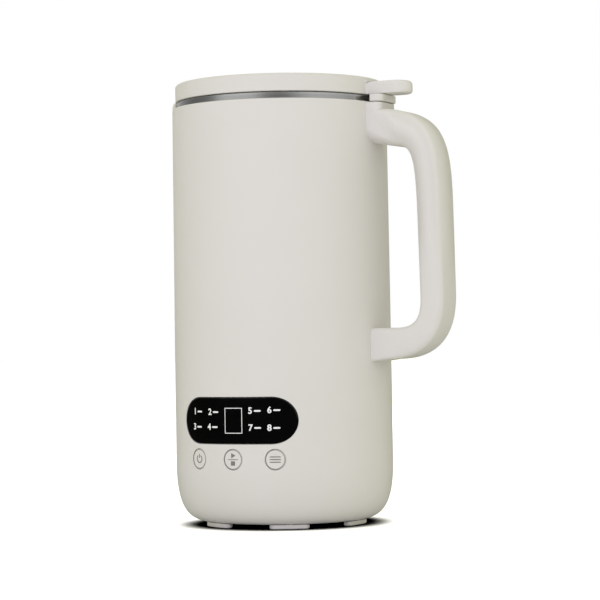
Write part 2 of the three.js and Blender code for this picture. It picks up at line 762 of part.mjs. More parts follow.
// A rounded section across the handle between two facing points of its edges
function handleSection(outer, inner) {
  const along = new THREE.Vector2().subVectors(outer, inner);
  const depth = along.length();
  along.normalize();
  const edges = handleEdges(inner);
  const near = HALF_WIDTH - edges.inner;
  const far = HALF_WIDTH - edges.outer;
  return [
    ...fillet(depth - edges.outer, far, edges.outer, 0, 90, CURVE_STEPS),
    ...fillet(edges.inner, near, edges.inner, 90, 180, CURVE_STEPS),
    ...fillet(edges.inner, -near, edges.inner, 180, 270, CURVE_STEPS),
    ...fillet(depth - edges.outer, -far, edges.outer, 270, 360, CURVE_STEPS),
  ].map(([reach, y]) => [inner.x + along.x * reach, y, inner.y + along.y * reach]);
}

// Joins sections of the same number of points into one closed skin
function lofted(sections) {
  const size = sections[0].length;
  const last = (sections.length - 1) * size;
  const index = [];
  for (let start = 0; start < last; start += size) {
    for (let i = 0; i < size; i += 1) {
      const [a, b] = [start + i, start + (i + 1) % size];
      index.push(a, b + size, b, a, a + size, b + size);
    }
  }
  for (let i = 1; i + 1 < size; i += 1) index.push(0, i, i + 1, last, last + i + 1, last + i);
  const geometry = new THREE.BufferGeometry();
  geometry.setAttribute('position', new THREE.Float32BufferAttribute(sections.flat(2), 3));
  geometry.setIndex(index);
  return solidOf(geometry);
}

function handleBlank() {
  return lofted(handleOuterRow.map((outer, i) => handleSection(outer, handleInnerRow[i])));
}

function handleBoss() {
  const outline = tongue(SHELL_INNER, BOSS_FACE, HALF_WIDTH, BOSS_EDGE);
  const low = UPPER_ARM_TOP - BOSS_DEPTH;
  const pocketX = span(contactMiddle(), CONTACT_DEPTH + FIT_GAP * 2);
  const pocketY = span(0, CONTACT_WIDTH + FIT_GAP * 2);
  const pocket = block(pocketX, pocketY, [BOSS_TOP - CONTACT_HEIGHT - FIT_GAP, BOSS_TOP + OVERRUN]);
  return { boss: raised(outline, low, BOSS_TOP), pocket };
}

function contactMiddle() {
  return BODY_RADIUS + BOSS_DEPTH / 2;
}

// The space between the handle's two roots, up to a height
function handleInsideBox(high) {
  const x = [BODY_RADIUS + HANDLE_ROOT, HANDLE_REACH + OVERRUN];
  return block(x, span(0, HANDLE_WIDTH), [LOWER_ARM_HEIGHT - OVERRUN, high]);
}

// A space round the wall, which the handle stops short of
function wallSpace() {
  const [wide, slim] = [BODY_RADIUS + FIT_GAP, wallRadius(RIM_HEIGHT) + FIT_GAP];
  const profile = [[0, 0], [wide, 0], [wide, DRAFT_LOW], [slim, RIM_HEIGHT], [slim, LID_TOP], [0, LID_TOP]];
  return turned(profile, FINE);
}

// The handle is hollow. From the grip down its inner side is open, and the cover strip closes that.
function handle() {
  const { boss, pocket } = handleBoss();
  const half = HALF_WIDTH - HANDLE_WALL;
  const outside = offsetRow(handleOuterRow, -HANDLE_WALL);
  const hollowShape = bandShape(outside, offsetRow(handleInnerRow, HANDLE_WALL * 2));
  const hollow = pushed(hollowShape, -half, half).intersect(handleInsideBox(UPPER_ARM_TOP));
  const within = offsetRow(handleInnerRow, HANDLE_WALL * 3);
  const slotShape = bandShape(within, offsetRow(handleInnerRow, -OVERRUN));
  const slot = pushed(slotShape, -half, half).intersect(handleInsideBox(GRIP_COVER_TOP));
  let shape = handleBlank().subtract(hollow.add(slot)).add(boss).subtract(pocket).subtract(wallSpace());
  for (const z of handleScrewHeights) {
    const hole = rodAlongX(SCREW_RADIUS + FIT_GAP, SHELL_INNER, BODY_RADIUS + HANDLE_ROOT + OVERRUN, SMALL);
    shape = shape.subtract(hole.translate([0, 0, z]));
  }
  return shape;
}

function handleCover() {
  const shape = bandShape(offsetRow(handleInnerRow, HANDLE_WALL), handleInnerRow);
  const half = HALF_WIDTH - HANDLE_WALL - FIT_GAP;
  const clip = handleInsideBox(GRIP_COVER_TOP - FIT_GAP).translate([FIT_GAP, 0, 0]);
  return pushed(shape, -half, half).intersect(clip);
}

function handleScrew(z) {
  const headEnd = SHELL_INNER - FIT_GAP;
  const shaftEnd = BODY_RADIUS + HANDLE_ROOT;
  const head = rodAlongX(SCREW_HEAD, headEnd - SCREW_HEAD_HEIGHT, headEnd);
  const thread = rodAlongX(SCREW_RADIUS, headEnd - SCREW_HEAD_HEIGHT / 2, shaftEnd, SMALL);
  return head.add(thread).translate([0, 0, z]);
}

// Lid and coupler

function stadium(reach, halfWidth) {
  const shape = new THREE.Shape();
  shape.moveTo(0, -halfWidth);
  shape.lineTo(reach - halfWidth, -halfWidth);
  shape.absarc(reach - halfWidth, 0, halfWidth, -Math.PI / 2, Math.PI / 2, false);
  shape.lineTo(0, halfWidth);
  return shape;
}

function lidShell() {
  const inside = LID_RADIUS - LID_WALL;
  const ceiling = LID_TOP - LID_WALL;
  const cap = turned([
    [0, ceiling],
    [inside, ceiling],
    [inside, LID_LOW],
    [LID_RADIUS, LID_LOW],
    ...fillet(LID_RADIUS - LID_EDGE, LID_TOP - LID_EDGE, LID_EDGE, 0, 90, 3),
    [0, LID_TOP],
  ], FINE);
  const half = LID_TAB_WIDTH / 2;
  const tabTop = LID_LOW + LID_TAB_HEIGHT;
  const curve = { curveSegments: WIDE_CURVE_STEPS };
  const tab = raised(stadium(LID_TAB_REACH, half), LID_LOW, tabTop, curve);
  const hollowShape = stadium(LID_TAB_REACH - LID_WALL, half - LID_WALL);
  const hollow = raised(hollowShape, LID_LOW + LID_WALL, tabTop - LID_WALL, curve);
  return cap.add(tab.subtract(rod(inside, LID_LOW - OVERRUN, LID_TOP, FINE))).subtract(hollow);
}

function lidLiner() {
  const brim = LID_RADIUS - LID_WALL - FIT_GAP;
  const skirt = CUP_RADIUS - CUP_WALL - LID_SEAL_LIP - FIT_GAP;
  const low = LID_LOW + LINER_WALL;
  const skirtLow = LID_LOW - LINER_SKIRT;
  const plate = turned([
    [0, low],
    [skirt - LINER_WALL, low],
    [skirt - LINER_WALL, skirtLow],
    [skirt, skirtLow],
    [skirt, low],
    [brim, low],
    [brim, low + LINER_WALL],
    [0, low + LINER_WALL],
  ]);
  const hole = rod(ELECTRODE_RADIUS + FIT_GAP, low - OVERRUN, low + LINER_WALL + OVERRUN, COARSE);
  return plate.subtract(hole.translate([ELECTRODE_REACH, 0, 0]));
}

function lidSeal() {
  const skirt = CUP_RADIUS - CUP_WALL - LID_SEAL_LIP - FIT_GAP;
  const inner = skirt + FIT_GAP;
  const outer = CUP_RADIUS - CUP_WALL - FIT_GAP;
  const low = LID_LOW - LINER_SKIRT + LINER_WALL;
  const high = LID_LOW + LINER_WALL - FIT_GAP;
  const lip = LID_SEAL_LIP / 2;
  return turned([
    [inner, low],
    [outer, low + lip * 2],
    [inner + lip, low + lip * 4],
    [inner + lip, high - lip * 3],
    [outer, high],
    [inner, high],
  ], FINE);
}

function overflowElectrode() {
  const plateLow = LID_LOW + LINER_WALL;
  const collarHigh = plateLow - FIT_GAP;
  const collarLow = collarHigh - ELECTRODE_RADIUS * 2;
  const tip = plateLow - ELECTRODE_LENGTH;
  const rodShape = turned([
    [0, tip],
    [ELECTRODE_RADIUS / 2, tip],
    [ELECTRODE_RADIUS, tip + ELECTRODE_RADIUS / 2],
    [ELECTRODE_RADIUS, collarLow],
    [ELECTRODE_COLLAR, collarLow],
    [ELECTRODE_COLLAR, collarHigh],
    [ELECTRODE_RADIUS, collarHigh],
    [ELECTRODE_RADIUS, plateLow + LINER_WALL + ELECTRODE_RADIUS],
    [0, plateLow + LINER_WALL + ELECTRODE_RADIUS],
  ], COARSE);
  return rodShape.translate([ELECTRODE_REACH, 0, 0]);
}

const COUPLER_LOW = BOSS_TOP + FIT_GAP;
const COUPLER_TOP = LID_LOW - FIT_GAP;

function couplerBlock() {
  const inner = BODY_RADIUS + FIT_GAP * 2;
  const outline = tongue(inner, BOSS_FACE + COUPLER_OVERHANG, HALF_WIDTH, COUPLER_EDGE);
  let body = raised(outline, COUPLER_LOW, COUPLER_TOP);
  for (const side of [-1, 1]) {
    const hole = rod(PIN_RADIUS + FIT_GAP, COUPLER_LOW - OVERRUN, COUPLER_TOP - PIN_RADIUS, SMALL);
    body = body.subtract(hole.translate([contactMiddle(), side * PIN_SPACING / 2, 0]));
  }
  return body;
}

function couplerPin(side) {
  const top = COUPLER_TOP - PIN_RADIUS - FIT_GAP;
  const low = BOSS_TOP - PIN_LENGTH;
  return rod(PIN_RADIUS, low, top, SMALL).translate([contactMiddle(), side * PIN_SPACING / 2, 0]);
}

function lidContactSocket() {
  const high = BOSS_TOP - FIT_GAP;
  const low = BOSS_TOP - CONTACT_HEIGHT;
  let body = block(span(contactMiddle(), CONTACT_DEPTH), span(0, CONTACT_WIDTH), [low, high]);
  for (const side of [-1, 1]) {
    const hole = rod(PIN_RADIUS + FIT_GAP, BOSS_TOP - PIN_LENGTH - FIT_GAP, high + OVERRUN, SMALL);
    body = body.subtract(hole.translate([contactMiddle(), side * PIN_SPACING / 2, 0]));
  }
  return body;
}

// Panel, keys and control board

function panelLens() {
  const heights = [PANEL_LOW - OVERRUN, PANEL_LOW + PANEL_HEIGHT + OVERRUN];
  const wall = ring(BODY_RADIUS - LENS_THICKNESS, BODY_RADIUS, ...heights, FINE);
  return wall.intersect(pushed(pillOutline(0), -BODY_RADIUS - OVERRUN, 0));
}

function keyCap(side) {
  const margin = KEY_DIAMETER / 2 + OVERRUN;
  const heights = [KEY_HEIGHT - margin, KEY_HEIGHT + margin];
  const flangeOuter = SHELL_INNER - FIT_GAP * 2;
  const face = ring(flangeOuter - KEY_FLANGE, BODY_RADIUS, ...heights, FINE);
  const cap = face.intersect(keyPrism(side, 0, BODY_RADIUS + OVERRUN, 0));
  const flangeRing = ring(flangeOuter - KEY_FLANGE, flangeOuter, ...heights, FINE);
  const flange = flangeRing.intersect(keyPrism(side, KEY_FLANGE + FIT_GAP, BODY_RADIUS, 0));
  const x = BODY_RADIUS * Math.sin(keyAngle(side));
  const stemEnd = switchTop() + KEY_TRAVEL + RUN_GAP;
  const stemStart = Math.sqrt(flangeOuter ** 2 - x ** 2) - KEY_FLANGE / 2;
  const stem = rodAlongY(KEY_STEM_RADIUS, -stemStart, -stemEnd, COARSE).translate([x, 0, KEY_HEIGHT]);
  return cap.add(flange).add(stem);
}

function switchTop() {
  return BOARD_FRONT + SWITCH_BODY + SWITCH_BUTTON;
}

function keySwitch(side) {
  const x = BODY_RADIUS * Math.sin(keyAngle(side));
  const near = BOARD_FRONT;
  const y = [-near - SWITCH_BODY, -near + BOARD_THICKNESS / 2];
  const body = block(span(x, SWITCH_SIZE), y, span(KEY_HEIGHT, SWITCH_SIZE));
  const button = rodAlongY(KEY_STEM_RADIUS, -switchTop(), -near - SWITCH_BODY / 2, COARSE);
  return body.add(button.translate([x, 0, KEY_HEIGHT]));
}

// The control board carries its three soldered key switches
function controlBoard() {
  const back = BOARD_FRONT - BOARD_THICKNESS;
  const board = block(span(0, BOARD_HALF_WIDTH * 2), [-BOARD_FRONT, -back], [BOARD_LOW, BOARD_TOP]);
  return board.add(keySwitch(-1)).add(keySwitch(0)).add(keySwitch(1));
}

function displayModule() {
  const near = BOARD_FRONT + FIT_GAP;
  const wide = WINDOW_WIDTH + DISPLAY_RIM * 2;
  const tall = WINDOW_HEIGHT + DISPLAY_RIM * 2;
  const body = block(span(0, wide), [-near - DISPLAY_DEPTH, -near], span(PANEL_MIDDLE, tall));
  const faceDepth = DISPLAY_RIM / 4;
  const face = block(
    span(0, WINDOW_WIDTH),
    [-near - DISPLAY_DEPTH - faceDepth, -near - DISPLAY_DEPTH / 2],
    span(PANEL_MIDDLE, WINDOW_HEIGHT),
  );
  return body.add(face);
}

// Motor

function rotorShaft() {
  return rod(SHAFT_RADIUS, SHAFT_LOW, bladeLow() + BLADE_SHEET + NUT_BORE_HEIGHT, MEDIUM);
}

function upperBracketLow() {
  return STACK_TOP + WINDING_HEIGHT + COIL_BAND + BRACKET_THICKNESS;
}

function bracketLegReach() {
  return BRACKET_RADIUS - BRACKET_LEG - FIT_GAP;
}

// An end bracket is a disc with a bearing cup in its hub and four legs that hold the stack
function bracket(discLow, hubHeights, seatHeights, legHeights) {
  const hub = BEARING_RADIUS + FIT_GAP + BRACKET_THICKNESS;
  let body = ring(BEARING_RADIUS, BRACKET_RADIUS, discLow, discLow + BRACKET_THICKNESS);
  body = body.add(ring(SHAFT_RADIUS * 2, hub, ...hubHeights));
  body = body.subtract(rod(BEARING_RADIUS + FIT_GAP, ...seatHeights, MEDIUM));
  for (const turn of BRACKET_LEG_TURNS) {
    const leg = rod(BRACKET_LEG, ...legHeights, SMALL).translate([bracketLegReach(), 0, 0]);
    body = body.add(leg.rotate([0, 0, turn]));
  }
  return body;
}

function upperBearingLow() {
  return upperBracketLow() + BRACKET_THICKNESS;
}

function upperBracket() {
  const low = upperBracketLow();
  const seatLow = upperBearingLow() - FIT_GAP;
  const hubHigh = seatLow + BEARING_HEIGHT + FIT_GAP;
  const legHeights = [STACK_TOP + FIT_GAP, low + BRACKET_THICKNESS / 2];
  let body = bracket(low, [low, hubHigh], [seatLow, hubHigh + OVERRUN], legHeights);
  for (let i = 0; i < CUP_POSTS; i += 1) {
    const post = rod(BRACKET_LEG, low + BRACKET_THICKNESS / 2, CUP_FLOOR_HEIGHT - FIT_GAP, SMALL);
    const turn = CUP_POST_TURN + i * 360 / CUP_POSTS;
    body = body.add(post.translate([bracketLegReach() - BRACKET_LEG, 0, 0]).rotate([0, 0, turn]));
  }
  return body;
}

function fanTop() {
  return SHAFT_LOW + FAN_SHEET + FAN_HEIGHT;
}

function lowerBearingLow() {
  return fanTop() + MOTOR_CLEARANCE + FIT_GAP;
}

function lowerBracketLow() {
  return lowerBearingLow() + BEARING_HEIGHT + FIT_GAP + BEARING_LIP - BRACKET_THICKNESS;
}

function lowerBracket() {
  const low = lowerBracketLow();
  const seatHigh = lowerBearingLow() + BEARING_HEIGHT + FIT_GAP;
  const hubLow = lowerBearingLow() - FIT_GAP;
  const high = low + BRACKET_THICKNESS;
  const legHeights = [low + BRACKET_THICKNESS / 2, STACK_LOW - FIT_GAP];
  return bracket(low, [hubLow, high], [hubLow - OVERRUN, seatHigh], legHeights);
}

function bearing(low) {
  return ring(SHAFT_BORE, BEARING_RADIUS, low, low + BEARING_HEIGHT, COARSE);
}

function statorStack() {
  const outline = roundedRectangle([-STACK_HALF_X, STACK_HALF_X], [-STACK_HALF_Y, STACK_HALF_Y], COIL_BAND);
  let stack = raised(outline, STACK_LOW, STACK_TOP);
  stack = stack.subtract(rod(ARMATURE_RADIUS + AIR_GAP, STACK_LOW - OVERRUN, STACK_TOP + OVERRUN, FINE));
  const slotX = [COIL_INNER - FIT_GAP, COIL_INNER + COIL_BAND + FIT_GAP];
  const slotY = [ARMATURE_RADIUS / 2, ARMATURE_RADIUS + AIR_GAP * 2 + COIL_DEPTH];
  const slot = block(slotX, slotY, [STACK_LOW - OVERRUN, STACK_TOP + OVERRUN]);
  const pair = slot.add(slot.mirror([1, 0, 0]));
  return stack.subtract(pair).subtract(pair.mirror([0, 1, 0]));
}

// A field coil is a flat racetrack loop round one pole of the stack
function fieldCoil(side) {
  const outerHalf = COIL_INNER + COIL_BAND;
  const low = STACK_LOW - FIT_GAP * 2;
  const high = STACK_TOP + FIT_GAP * 2;
  const corner = COIL_BAND - AIR_GAP;
  const outline = roundedRectangle([-outerHalf, outerHalf], [low - COIL_BAND, high + COIL_BAND], corner);
  outline.holes.push(roundedRectangle([-COIL_INNER, COIL_INNER], [low, high], corner / 4));
  const near = ARMATURE_RADIUS + AIR_GAP * 2 - FIT_GAP;
  const coil = pushed(outline, near, near + COIL_DEPTH);
  return side > 0 ? coil : coil.mirror([0, 1, 0]);
}

function slotBottom() {
  return ARMATURE_RADIUS * SLOT_DEPTH_SHARE;
}

function armatureCore() {
  let core = ring(SHAFT_BORE, ARMATURE_RADIUS, STACK_LOW, STACK_TOP, MEDIUM);
  const slot = block(
    [slotBottom(), ARMATURE_RADIUS + OVERRUN],
    span(0, SLOT_WIDTH),
    [STACK_LOW - OVERRUN, STACK_TOP + OVERRUN],
  );
  for (let i = 0; i < ARMATURE_SLOTS; i += 1) {
    core = core.subtract(slot.rotate([0, 0, i * 360 / ARMATURE_SLOTS]));
  }
  return core;
}

function windingHead(low) {
  const inner = SHAFT_BORE + COIL_BAND / 4;
  const outer = ARMATURE_RADIUS - AIR_GAP * 2;
  const high = low + WINDING_HEIGHT;
  const round = WINDING_HEIGHT / 3;
  return turned([
    [inner, low],
    [outer - round, low],
    [outer, (low + high) / 2],
    [outer - round, high],
    [inner, high],
  ]);
}

// The winding is two heads joined by a bar of wires in each slot of the core
function armatureWinding() {
  const headLow = STACK_LOW - FIT_GAP - WINDING_HEIGHT;
  const headHigh = STACK_TOP + FIT_GAP;
  let winding = windingHead(headLow).add(windingHead(headHigh));
  const x = [slotBottom() + FIT_GAP, ARMATURE_RADIUS - AIR_GAP * 2 - FIT_GAP];
  const bar = block(x, span(0, SLOT_WIDTH - FIT_GAP * 2), [STACK_LOW - OVERRUN, STACK_TOP + OVERRUN]);
  for (let i = 0; i < ARMATURE_SLOTS; i += 1) {
    winding = winding.add(bar.rotate([0, 0, i * 360 / ARMATURE_SLOTS]));
  }
  return winding;
}

function commutatorTop() {
  return STACK_LOW - FIT_GAP * 2 - WINDING_HEIGHT;
}

function commutator() {
  const high = commutatorTop();
  let drum = ring(SHAFT_BORE, COMMUTATOR_RADIUS, high - COMMUTATOR_HEIGHT, high);
  const groove = block(
    [COMMUTATOR_RADIUS - COMMUTATOR_GROOVE, COMMUTATOR_RADIUS + OVERRUN],
    span(0, COMMUTATOR_GROOVE),
    [high - COMMUTATOR_HEIGHT - OVERRUN, high + OVERRUN],
  );
  for (let i = 0; i < ARMATURE_SLOTS; i += 1) {
    drum = drum.subtract(groove.rotate([0, 0, i * 360 / ARMATURE_SLOTS]));
  }
  return drum;
}

function brushMiddle() {
  return commutatorTop() - COMMUTATOR_HEIGHT / 2;
}

function carbonBrush(side) {
  const near = COMMUTATOR_RADIUS + FIT_GAP;
  const body = block([near, near + BRUSH_LENGTH], span(0, BRUSH_WIDTH), span(brushMiddle(), BRUSH_WIDTH));
  return side > 0 ? body : body.mirror([1, 0, 0]);
}

function brushHolder(side) {
  const inner = BRUSH_WIDTH + FIT_GAP * 2;
  const outer = inner + BRUSH_WALL * 2;
  const near = COMMUTATOR_RADIUS + BRUSH_WALL * 2;
  const far = COMMUTATOR_RADIUS + BRUSH_LENGTH + BRUSH_WALL * 3;
  const tube = block([near, far], span(0, outer), span(brushMiddle(), outer));
  const bore = block([near - OVERRUN, far - BRUSH_WALL], span(0, inner), span(brushMiddle(), inner));
  const footLow = lowerBracketLow() + BRACKET_THICKNESS + FIT_GAP;
  const foot = block([near + BRUSH_WALL, far], span(0, BRUSH_WIDTH), [footLow, brushMiddle() - inner / 2]);
  const holder = tube.subtract(bore).add(foot);
  return side > 0 ? holder : holder.mirror([1, 0, 0]);
}

function coolingFan() {
  const hub = FAN_HUB_RADIUS;
  const plate = FAN_SHEET;
  const low = SHAFT_LOW + FAN_SHEET;
  let fan = ring(SHAFT_BORE, hub, low, low + FAN_HEIGHT);
  fan = fan.add(ring(hub - OVERRUN, FAN_RADIUS, low + FAN_HEIGHT - plate, low + FAN_HEIGHT));
  const wing = block([hub - plate, FAN_RADIUS - plate], span(0, plate), [low, low + FAN_HEIGHT - plate / 2]);
  const swept = wing.translate([-hub, 0, 0]).rotate([0, 0, FAN_SWEEP]).translate([hub, 0, 0]);
  const clipped = swept.intersect(ring(hub - plate, FAN_RADIUS, low, low + FAN_HEIGHT, MEDIUM));
  for (let i = 0; i < FAN_BLADES; i += 1) {
    fan = fan.add(clipped.rotate([0, 0, i * 360 / FAN_BLADES]));
  }
  return fan;
}

function bladeLow() {
  return CUP_INSIDE_FLOOR + BLADE_HEIGHT;
}

function spacer() {
  const low = CUP_INSIDE_FLOOR + FIT_GAP * 2 + SHAFT_RADIUS;
  return ring(SHAFT_BORE, SPACER_RADIUS, low, bladeLow() - FIT_GAP, COARSE);
}

// A bent wing of the blade: a tapered sheet that leaves the hub level and then tilts
function bladeWing(tilt) {
  const half = BLADE_WIDTH / 2;
  const bend = BLADE_WIDTH;
  const length = BLADE_REACH - bend;
  const flat = new THREE.Shape();
  flat.moveTo(0, -half);
  flat.lineTo(bend + BLADE_SHEET / 4, -half);
  flat.lineTo(bend + BLADE_SHEET / 4, half);
  flat.lineTo(0, half);
  const wing = new THREE.Shape();
  wing.moveTo(0, -half);
  wing.lineTo(length * BLADE_TIP_SHARES.front, -half);
  wing.lineTo(length, half * BLADE_TIP_SHARES.width);
  wing.lineTo(length * BLADE_TIP_SHARES.back, half);
  wing.lineTo(0, half);
  const tilted = raised(wing, -BLADE_SHEET / 2, BLADE_SHEET / 2).rotate([0, -tilt, 0]);
  return raised(flat, -BLADE_SHEET / 2, BLADE_SHEET / 2).add(tilted.translate([bend, 0, 0]));
}

function bladeSet() {
  let blade = bladeWing(BLADE_TILT).add(bladeWing(BLADE_TILT).rotate([0, 0, 180]));
  const lower = bladeWing(-BLADE_TILT / 2);
  blade = blade.add(lower.rotate([0, 0, 90])).add(lower.rotate([0, 0, 270]));
  blade = blade.subtract(rod(SHAFT_BORE, -BLADE_HEIGHT, BLADE_HEIGHT, COARSE));
  return blade.translate([0, 0, bladeLow() + BLADE_SHEET / 2]);
}

function bladeNut() {
  const low = bladeLow() + BLADE_SHEET + FIT_GAP;
  const across = NUT_ACROSS / 2 / Math.cos(Math.PI / 6);
  const hex = rod(across, low, low + NUT_HEX_HEIGHT, 6);
  const dome = turned([
    [0, low],
    [NUT_ACROSS / 2 - FIT_GAP, low],
    [NUT_ACROSS / 2 - FIT_GAP, low + NUT_BORE_HEIGHT],
    [NUT_ACROSS / 4, low + NUT_HEIGHT],
    [0, low + NUT_HEIGHT],
  ], COARSE);
  const bore = rod(SHAFT_BORE, low - OVERRUN, low + NUT_BORE_HEIGHT, COARSE);
  return hex.add(dome).subtract(bore);
}

// Power board

// The shell's inside radius at a height within the edge of the base
function baseInnerRadius(z) {
  const points = baseCurve(SHELL_WALL, BASE_CURVE_STEPS);
  const above = Math.max(points.findIndex((point) => point[1] >= z), 1);
  const [[r0, z0], [r1, z1]] = [points[above - 1], points[above]];
  return r0 + (r1 - r0) * (z - z0) / (z1 - z0);
}

// The board stands on the ledge, or where its corners meet the shell's edge if that is higher
function powerBoardLow() {
  const cornerReach = Math.hypot(POWER_BOARD_PLACE + BOARD_THICKNESS, POWER_BOARD_WIDTH / 2);
  const beyond = baseCurve(SHELL_WALL, BASE_CURVE_STEPS).find(([r]) => r >= cornerReach + FIT_GAP);
  return Math.max(LEDGE_TOP, beyond[1]) + FIT_GAP;
}

// The power board carries its soldered relay and capacitor
function powerBoard() {
  const x = [-POWER_BOARD_PLACE - BOARD_THICKNESS, -POWER_BOARD_PLACE];
  const low = powerBoardLow();
  const board = block(x, span(0, POWER_BOARD_WIDTH), [low, low + POWER_BOARD_HEIGHT]);
  return board.add(boardComponent(RELAY, 0)).add(capacitor());
}

function boardComponent(size, gap) {
  const near = POWER_BOARD_PLACE + BOARD_THICKNESS / 2 + gap;
  const far = Math.sqrt(SHELL_INNER ** 2 - (size.width / 2) ** 2) - size.wallGap;
  const low = powerBoardLow() + size.rise;
  return block([-far, -near], span(0, size.width), [low, low + size.height]);
}

function capacitor() {
  const near = POWER_BOARD_PLACE + BOARD_THICKNESS / 2;
  const low = powerBoardLow() + CAPACITOR.radius;
  const far = baseInnerRadius(low) - CAPACITOR.wallGap;
  return rodAlongX(CAPACITOR.radius, -far, -near).translate([0, 0, low + CAPACITOR.radius]);
}

// Mains inlet

const INLET_FACE = Math.sqrt(BODY_RADIUS ** 2 - (INLET_WIDTH / 2) ** 2) - INLET_RECESS / 4;
const INLET_BACK = STACK_HALF_Y + INLET_CLEARANCE + INLET_PIN.tail;

function inletSocket() {
  const x = span(0, INLET_WIDTH);
  const z = span(INLET_HEIGHT, INLET_TALL);
  let body = pushed(roundedRectangle(x, z, INLET_WALL), INLET_BACK, INLET_FACE);
  const flangeHalf = INLET_WIDTH / 2 + FIT_GAP + INLET_FLANGE;
  const flangeTall = INLET_TALL + (FIT_GAP + INLET_FLANGE) * 2;
  const flangeFace = Math.sqrt(SHELL_INNER ** 2 - flangeHalf ** 2) - FIT_GAP;
  const flange = block([-flangeHalf, flangeHalf], [flangeFace - INLET_FLANGE, flangeFace], span(INLET_HEIGHT, flangeTall));
  body = body.add(flange);
  const inX = span(0, INLET_WIDTH - INLET_WALL * 2);
  const inZ = span(INLET_HEIGHT, INLET_TALL - INLET_WALL * 2);
  const cavity = pushed(roundedRectangle(inX, inZ, INLET_WALL), INLET_BACK + INLET_FLOOR, INLET_FACE + OVERRUN);
  body = body.subtract(cavity);
  for (const place of inletPinPlaces) {
    const wide = INLET_PIN.thick + FIT_GAP * 2;
    const tall = INLET_PIN.width + FIT_GAP * 2;
    const floor = [INLET_BACK - OVERRUN, INLET_BACK + INLET_FLOOR + OVERRUN];
    body = body.subtract(block(span(place.x, wide), floor, span(place.z, tall)));
  }
  return body;
}

const inletPinPlaces = [
  { name: 'inlet_pin_line', x: -INLET_PIN_PITCH, z: INLET_HEIGHT - INLET_PIN_RISE },
  { name: 'inlet_pin_neutral', x: INLET_PIN_PITCH, z: INLET_HEIGHT - INLET_PIN_RISE },
  { name: 'inlet_pin_earth', x: 0, z: INLET_HEIGHT + INLET_PIN_RISE },
];

function inletPin(place) {
  const y = [INLET_BACK - INLET_PIN.tail, INLET_FACE - INLET_PIN.recess];
  return block(span(place.x, INLET_PIN.thick), y, span(place.z, INLET_PIN.width));
}

// Base cover, screws and feet

function placedBaseScrew(solid, i) {
  const reach = BASE_OPENING - FIT_GAP - SCREW_HEAD - FIT_GAP * 2;
  return solid.translate([reach, 0, 0]).rotate([0, 0, 90 + i * 360 / BASE_SCREWS]);
}

function baseCover() {
  let cover = rod(BASE_OPENING - FIT_GAP, 0, COVER_THICKNESS, FINE);
  for (let i = 0; i < VENT_RINGS; i += 1) {
    const inner = VENT_INNER + i * VENT_PITCH;
    const slots = ring(inner, inner + VENT_WIDTH, -OVERRUN, COVER_THICKNESS + OVERRUN, MEDIUM);
    const cross = block(span(0, BASE_OPENING * 2), span(0, VENT_PITCH), [-OVERRUN * 2, COVER_THICKNESS + OVERRUN * 2]);
    let open = slots;
    for (let rib = 0; rib < VENT_RIBS; rib += 1) {
      open = open.subtract(cross.rotate([0, 0, VENT_TURN + rib * 180 / VENT_RIBS]));
    }
    cover = cover.subtract(open);
  }
  const headHole = SCREW_HEAD + FIT_GAP;
  const headLow = FIT_GAP + SCREW_HEAD_HEIGHT + FIT_GAP;
  for (let i = 0; i < BASE_SCREWS; i += 1) {
    const hole = rod(SCREW_RADIUS + FIT_GAP, -OVERRUN, COVER_THICKNESS + OVERRUN, SMALL);
    cover = cover.subtract(placedBaseScrew(hole.add(rod(headHole, -OVERRUN, headLow, COARSE)), i));
  }
  return cover;
}

function baseScrew(i) {
  const head = rod(SCREW_HEAD, FIT_GAP, FIT_GAP + SCREW_HEAD_HEIGHT, COARSE);
  return placedBaseScrew(head.add(rod(SCREW_RADIUS, FIT_GAP * 2, LEDGE_TOP + SCREW_RADIUS, SMALL)), i);
}

function footTurn(i) {
  return i * 360 / FOOT_COUNT;
}

function footOutline() {
  const inner = FOOT_RING - FOOT_DEPTH / 2;
  const outer = FOOT_RING + FOOT_DEPTH / 2;
  const half = FOOT_HALF_ANGLE * RAD;
  const shape = new THREE.Shape();
  const trim = FOOT_EDGE / FOOT_RING;
  const polar = (r, a) => [r * Math.cos(a), r * Math.sin(a)];
  shape.moveTo(...polar(outer, -half + trim));
  shape.absarc(0, 0, outer, -half + trim, half - trim, false);
  shape.quadraticCurveTo(...polar(outer, half), ...polar(outer - FOOT_EDGE, half));
  shape.lineTo(...polar(inner + FOOT_EDGE, half));
  shape.quadraticCurveTo(...polar(inner, half), ...polar(inner, half - trim));
  shape.absarc(0, 0, inner, half - trim, -half + trim, true);
  shape.quadraticCurveTo(...polar(inner, -half), ...polar(inner + FOOT_EDGE, -half));
  shape.lineTo(...polar(outer - FOOT_EDGE, -half));
  shape.quadraticCurveTo(...polar(outer, -half), ...polar(outer, -half + trim));
  return shape;
}

// The underside that a foot fits: the shell's outside grown by the fit gap
function underside() {
  return turned([
    [0, -FIT_GAP],
    ...baseCurve(-FIT_GAP, BASE_CURVE_STEPS),
    [0, BASE_CURVE_HEIGHT],
  ], FINE);
}

function foot(i, shellUnderside) {
  const pad = raised(footOutline(), -FOOT_DROP, FOOT_DEPTH / 2);
  const stem = rod(FOOT_STEM, -FOOT_DROP / 2, LEDGE_TOP, SMALL).translate([FOOT_RING, 0, 0]);
  return pad.subtract(shellUnderside).add(stem).rotate([0, 0, footTurn(i)]);
}

// The whole assembly

add('outer_shell', outerShell(), 'cream');
add('handle', handle(), 'cream');
add('handle_cover', handleCover(), 'cream');
add('handle_screw_upper', handleScrew(handleScrewHeights[0]), 'steel');
add('handle_screw_lower', handleScrew(handleScrewHeights[1]), 'steel');
add('lid_contact_socket', lidContactSocket(), 'nylon');

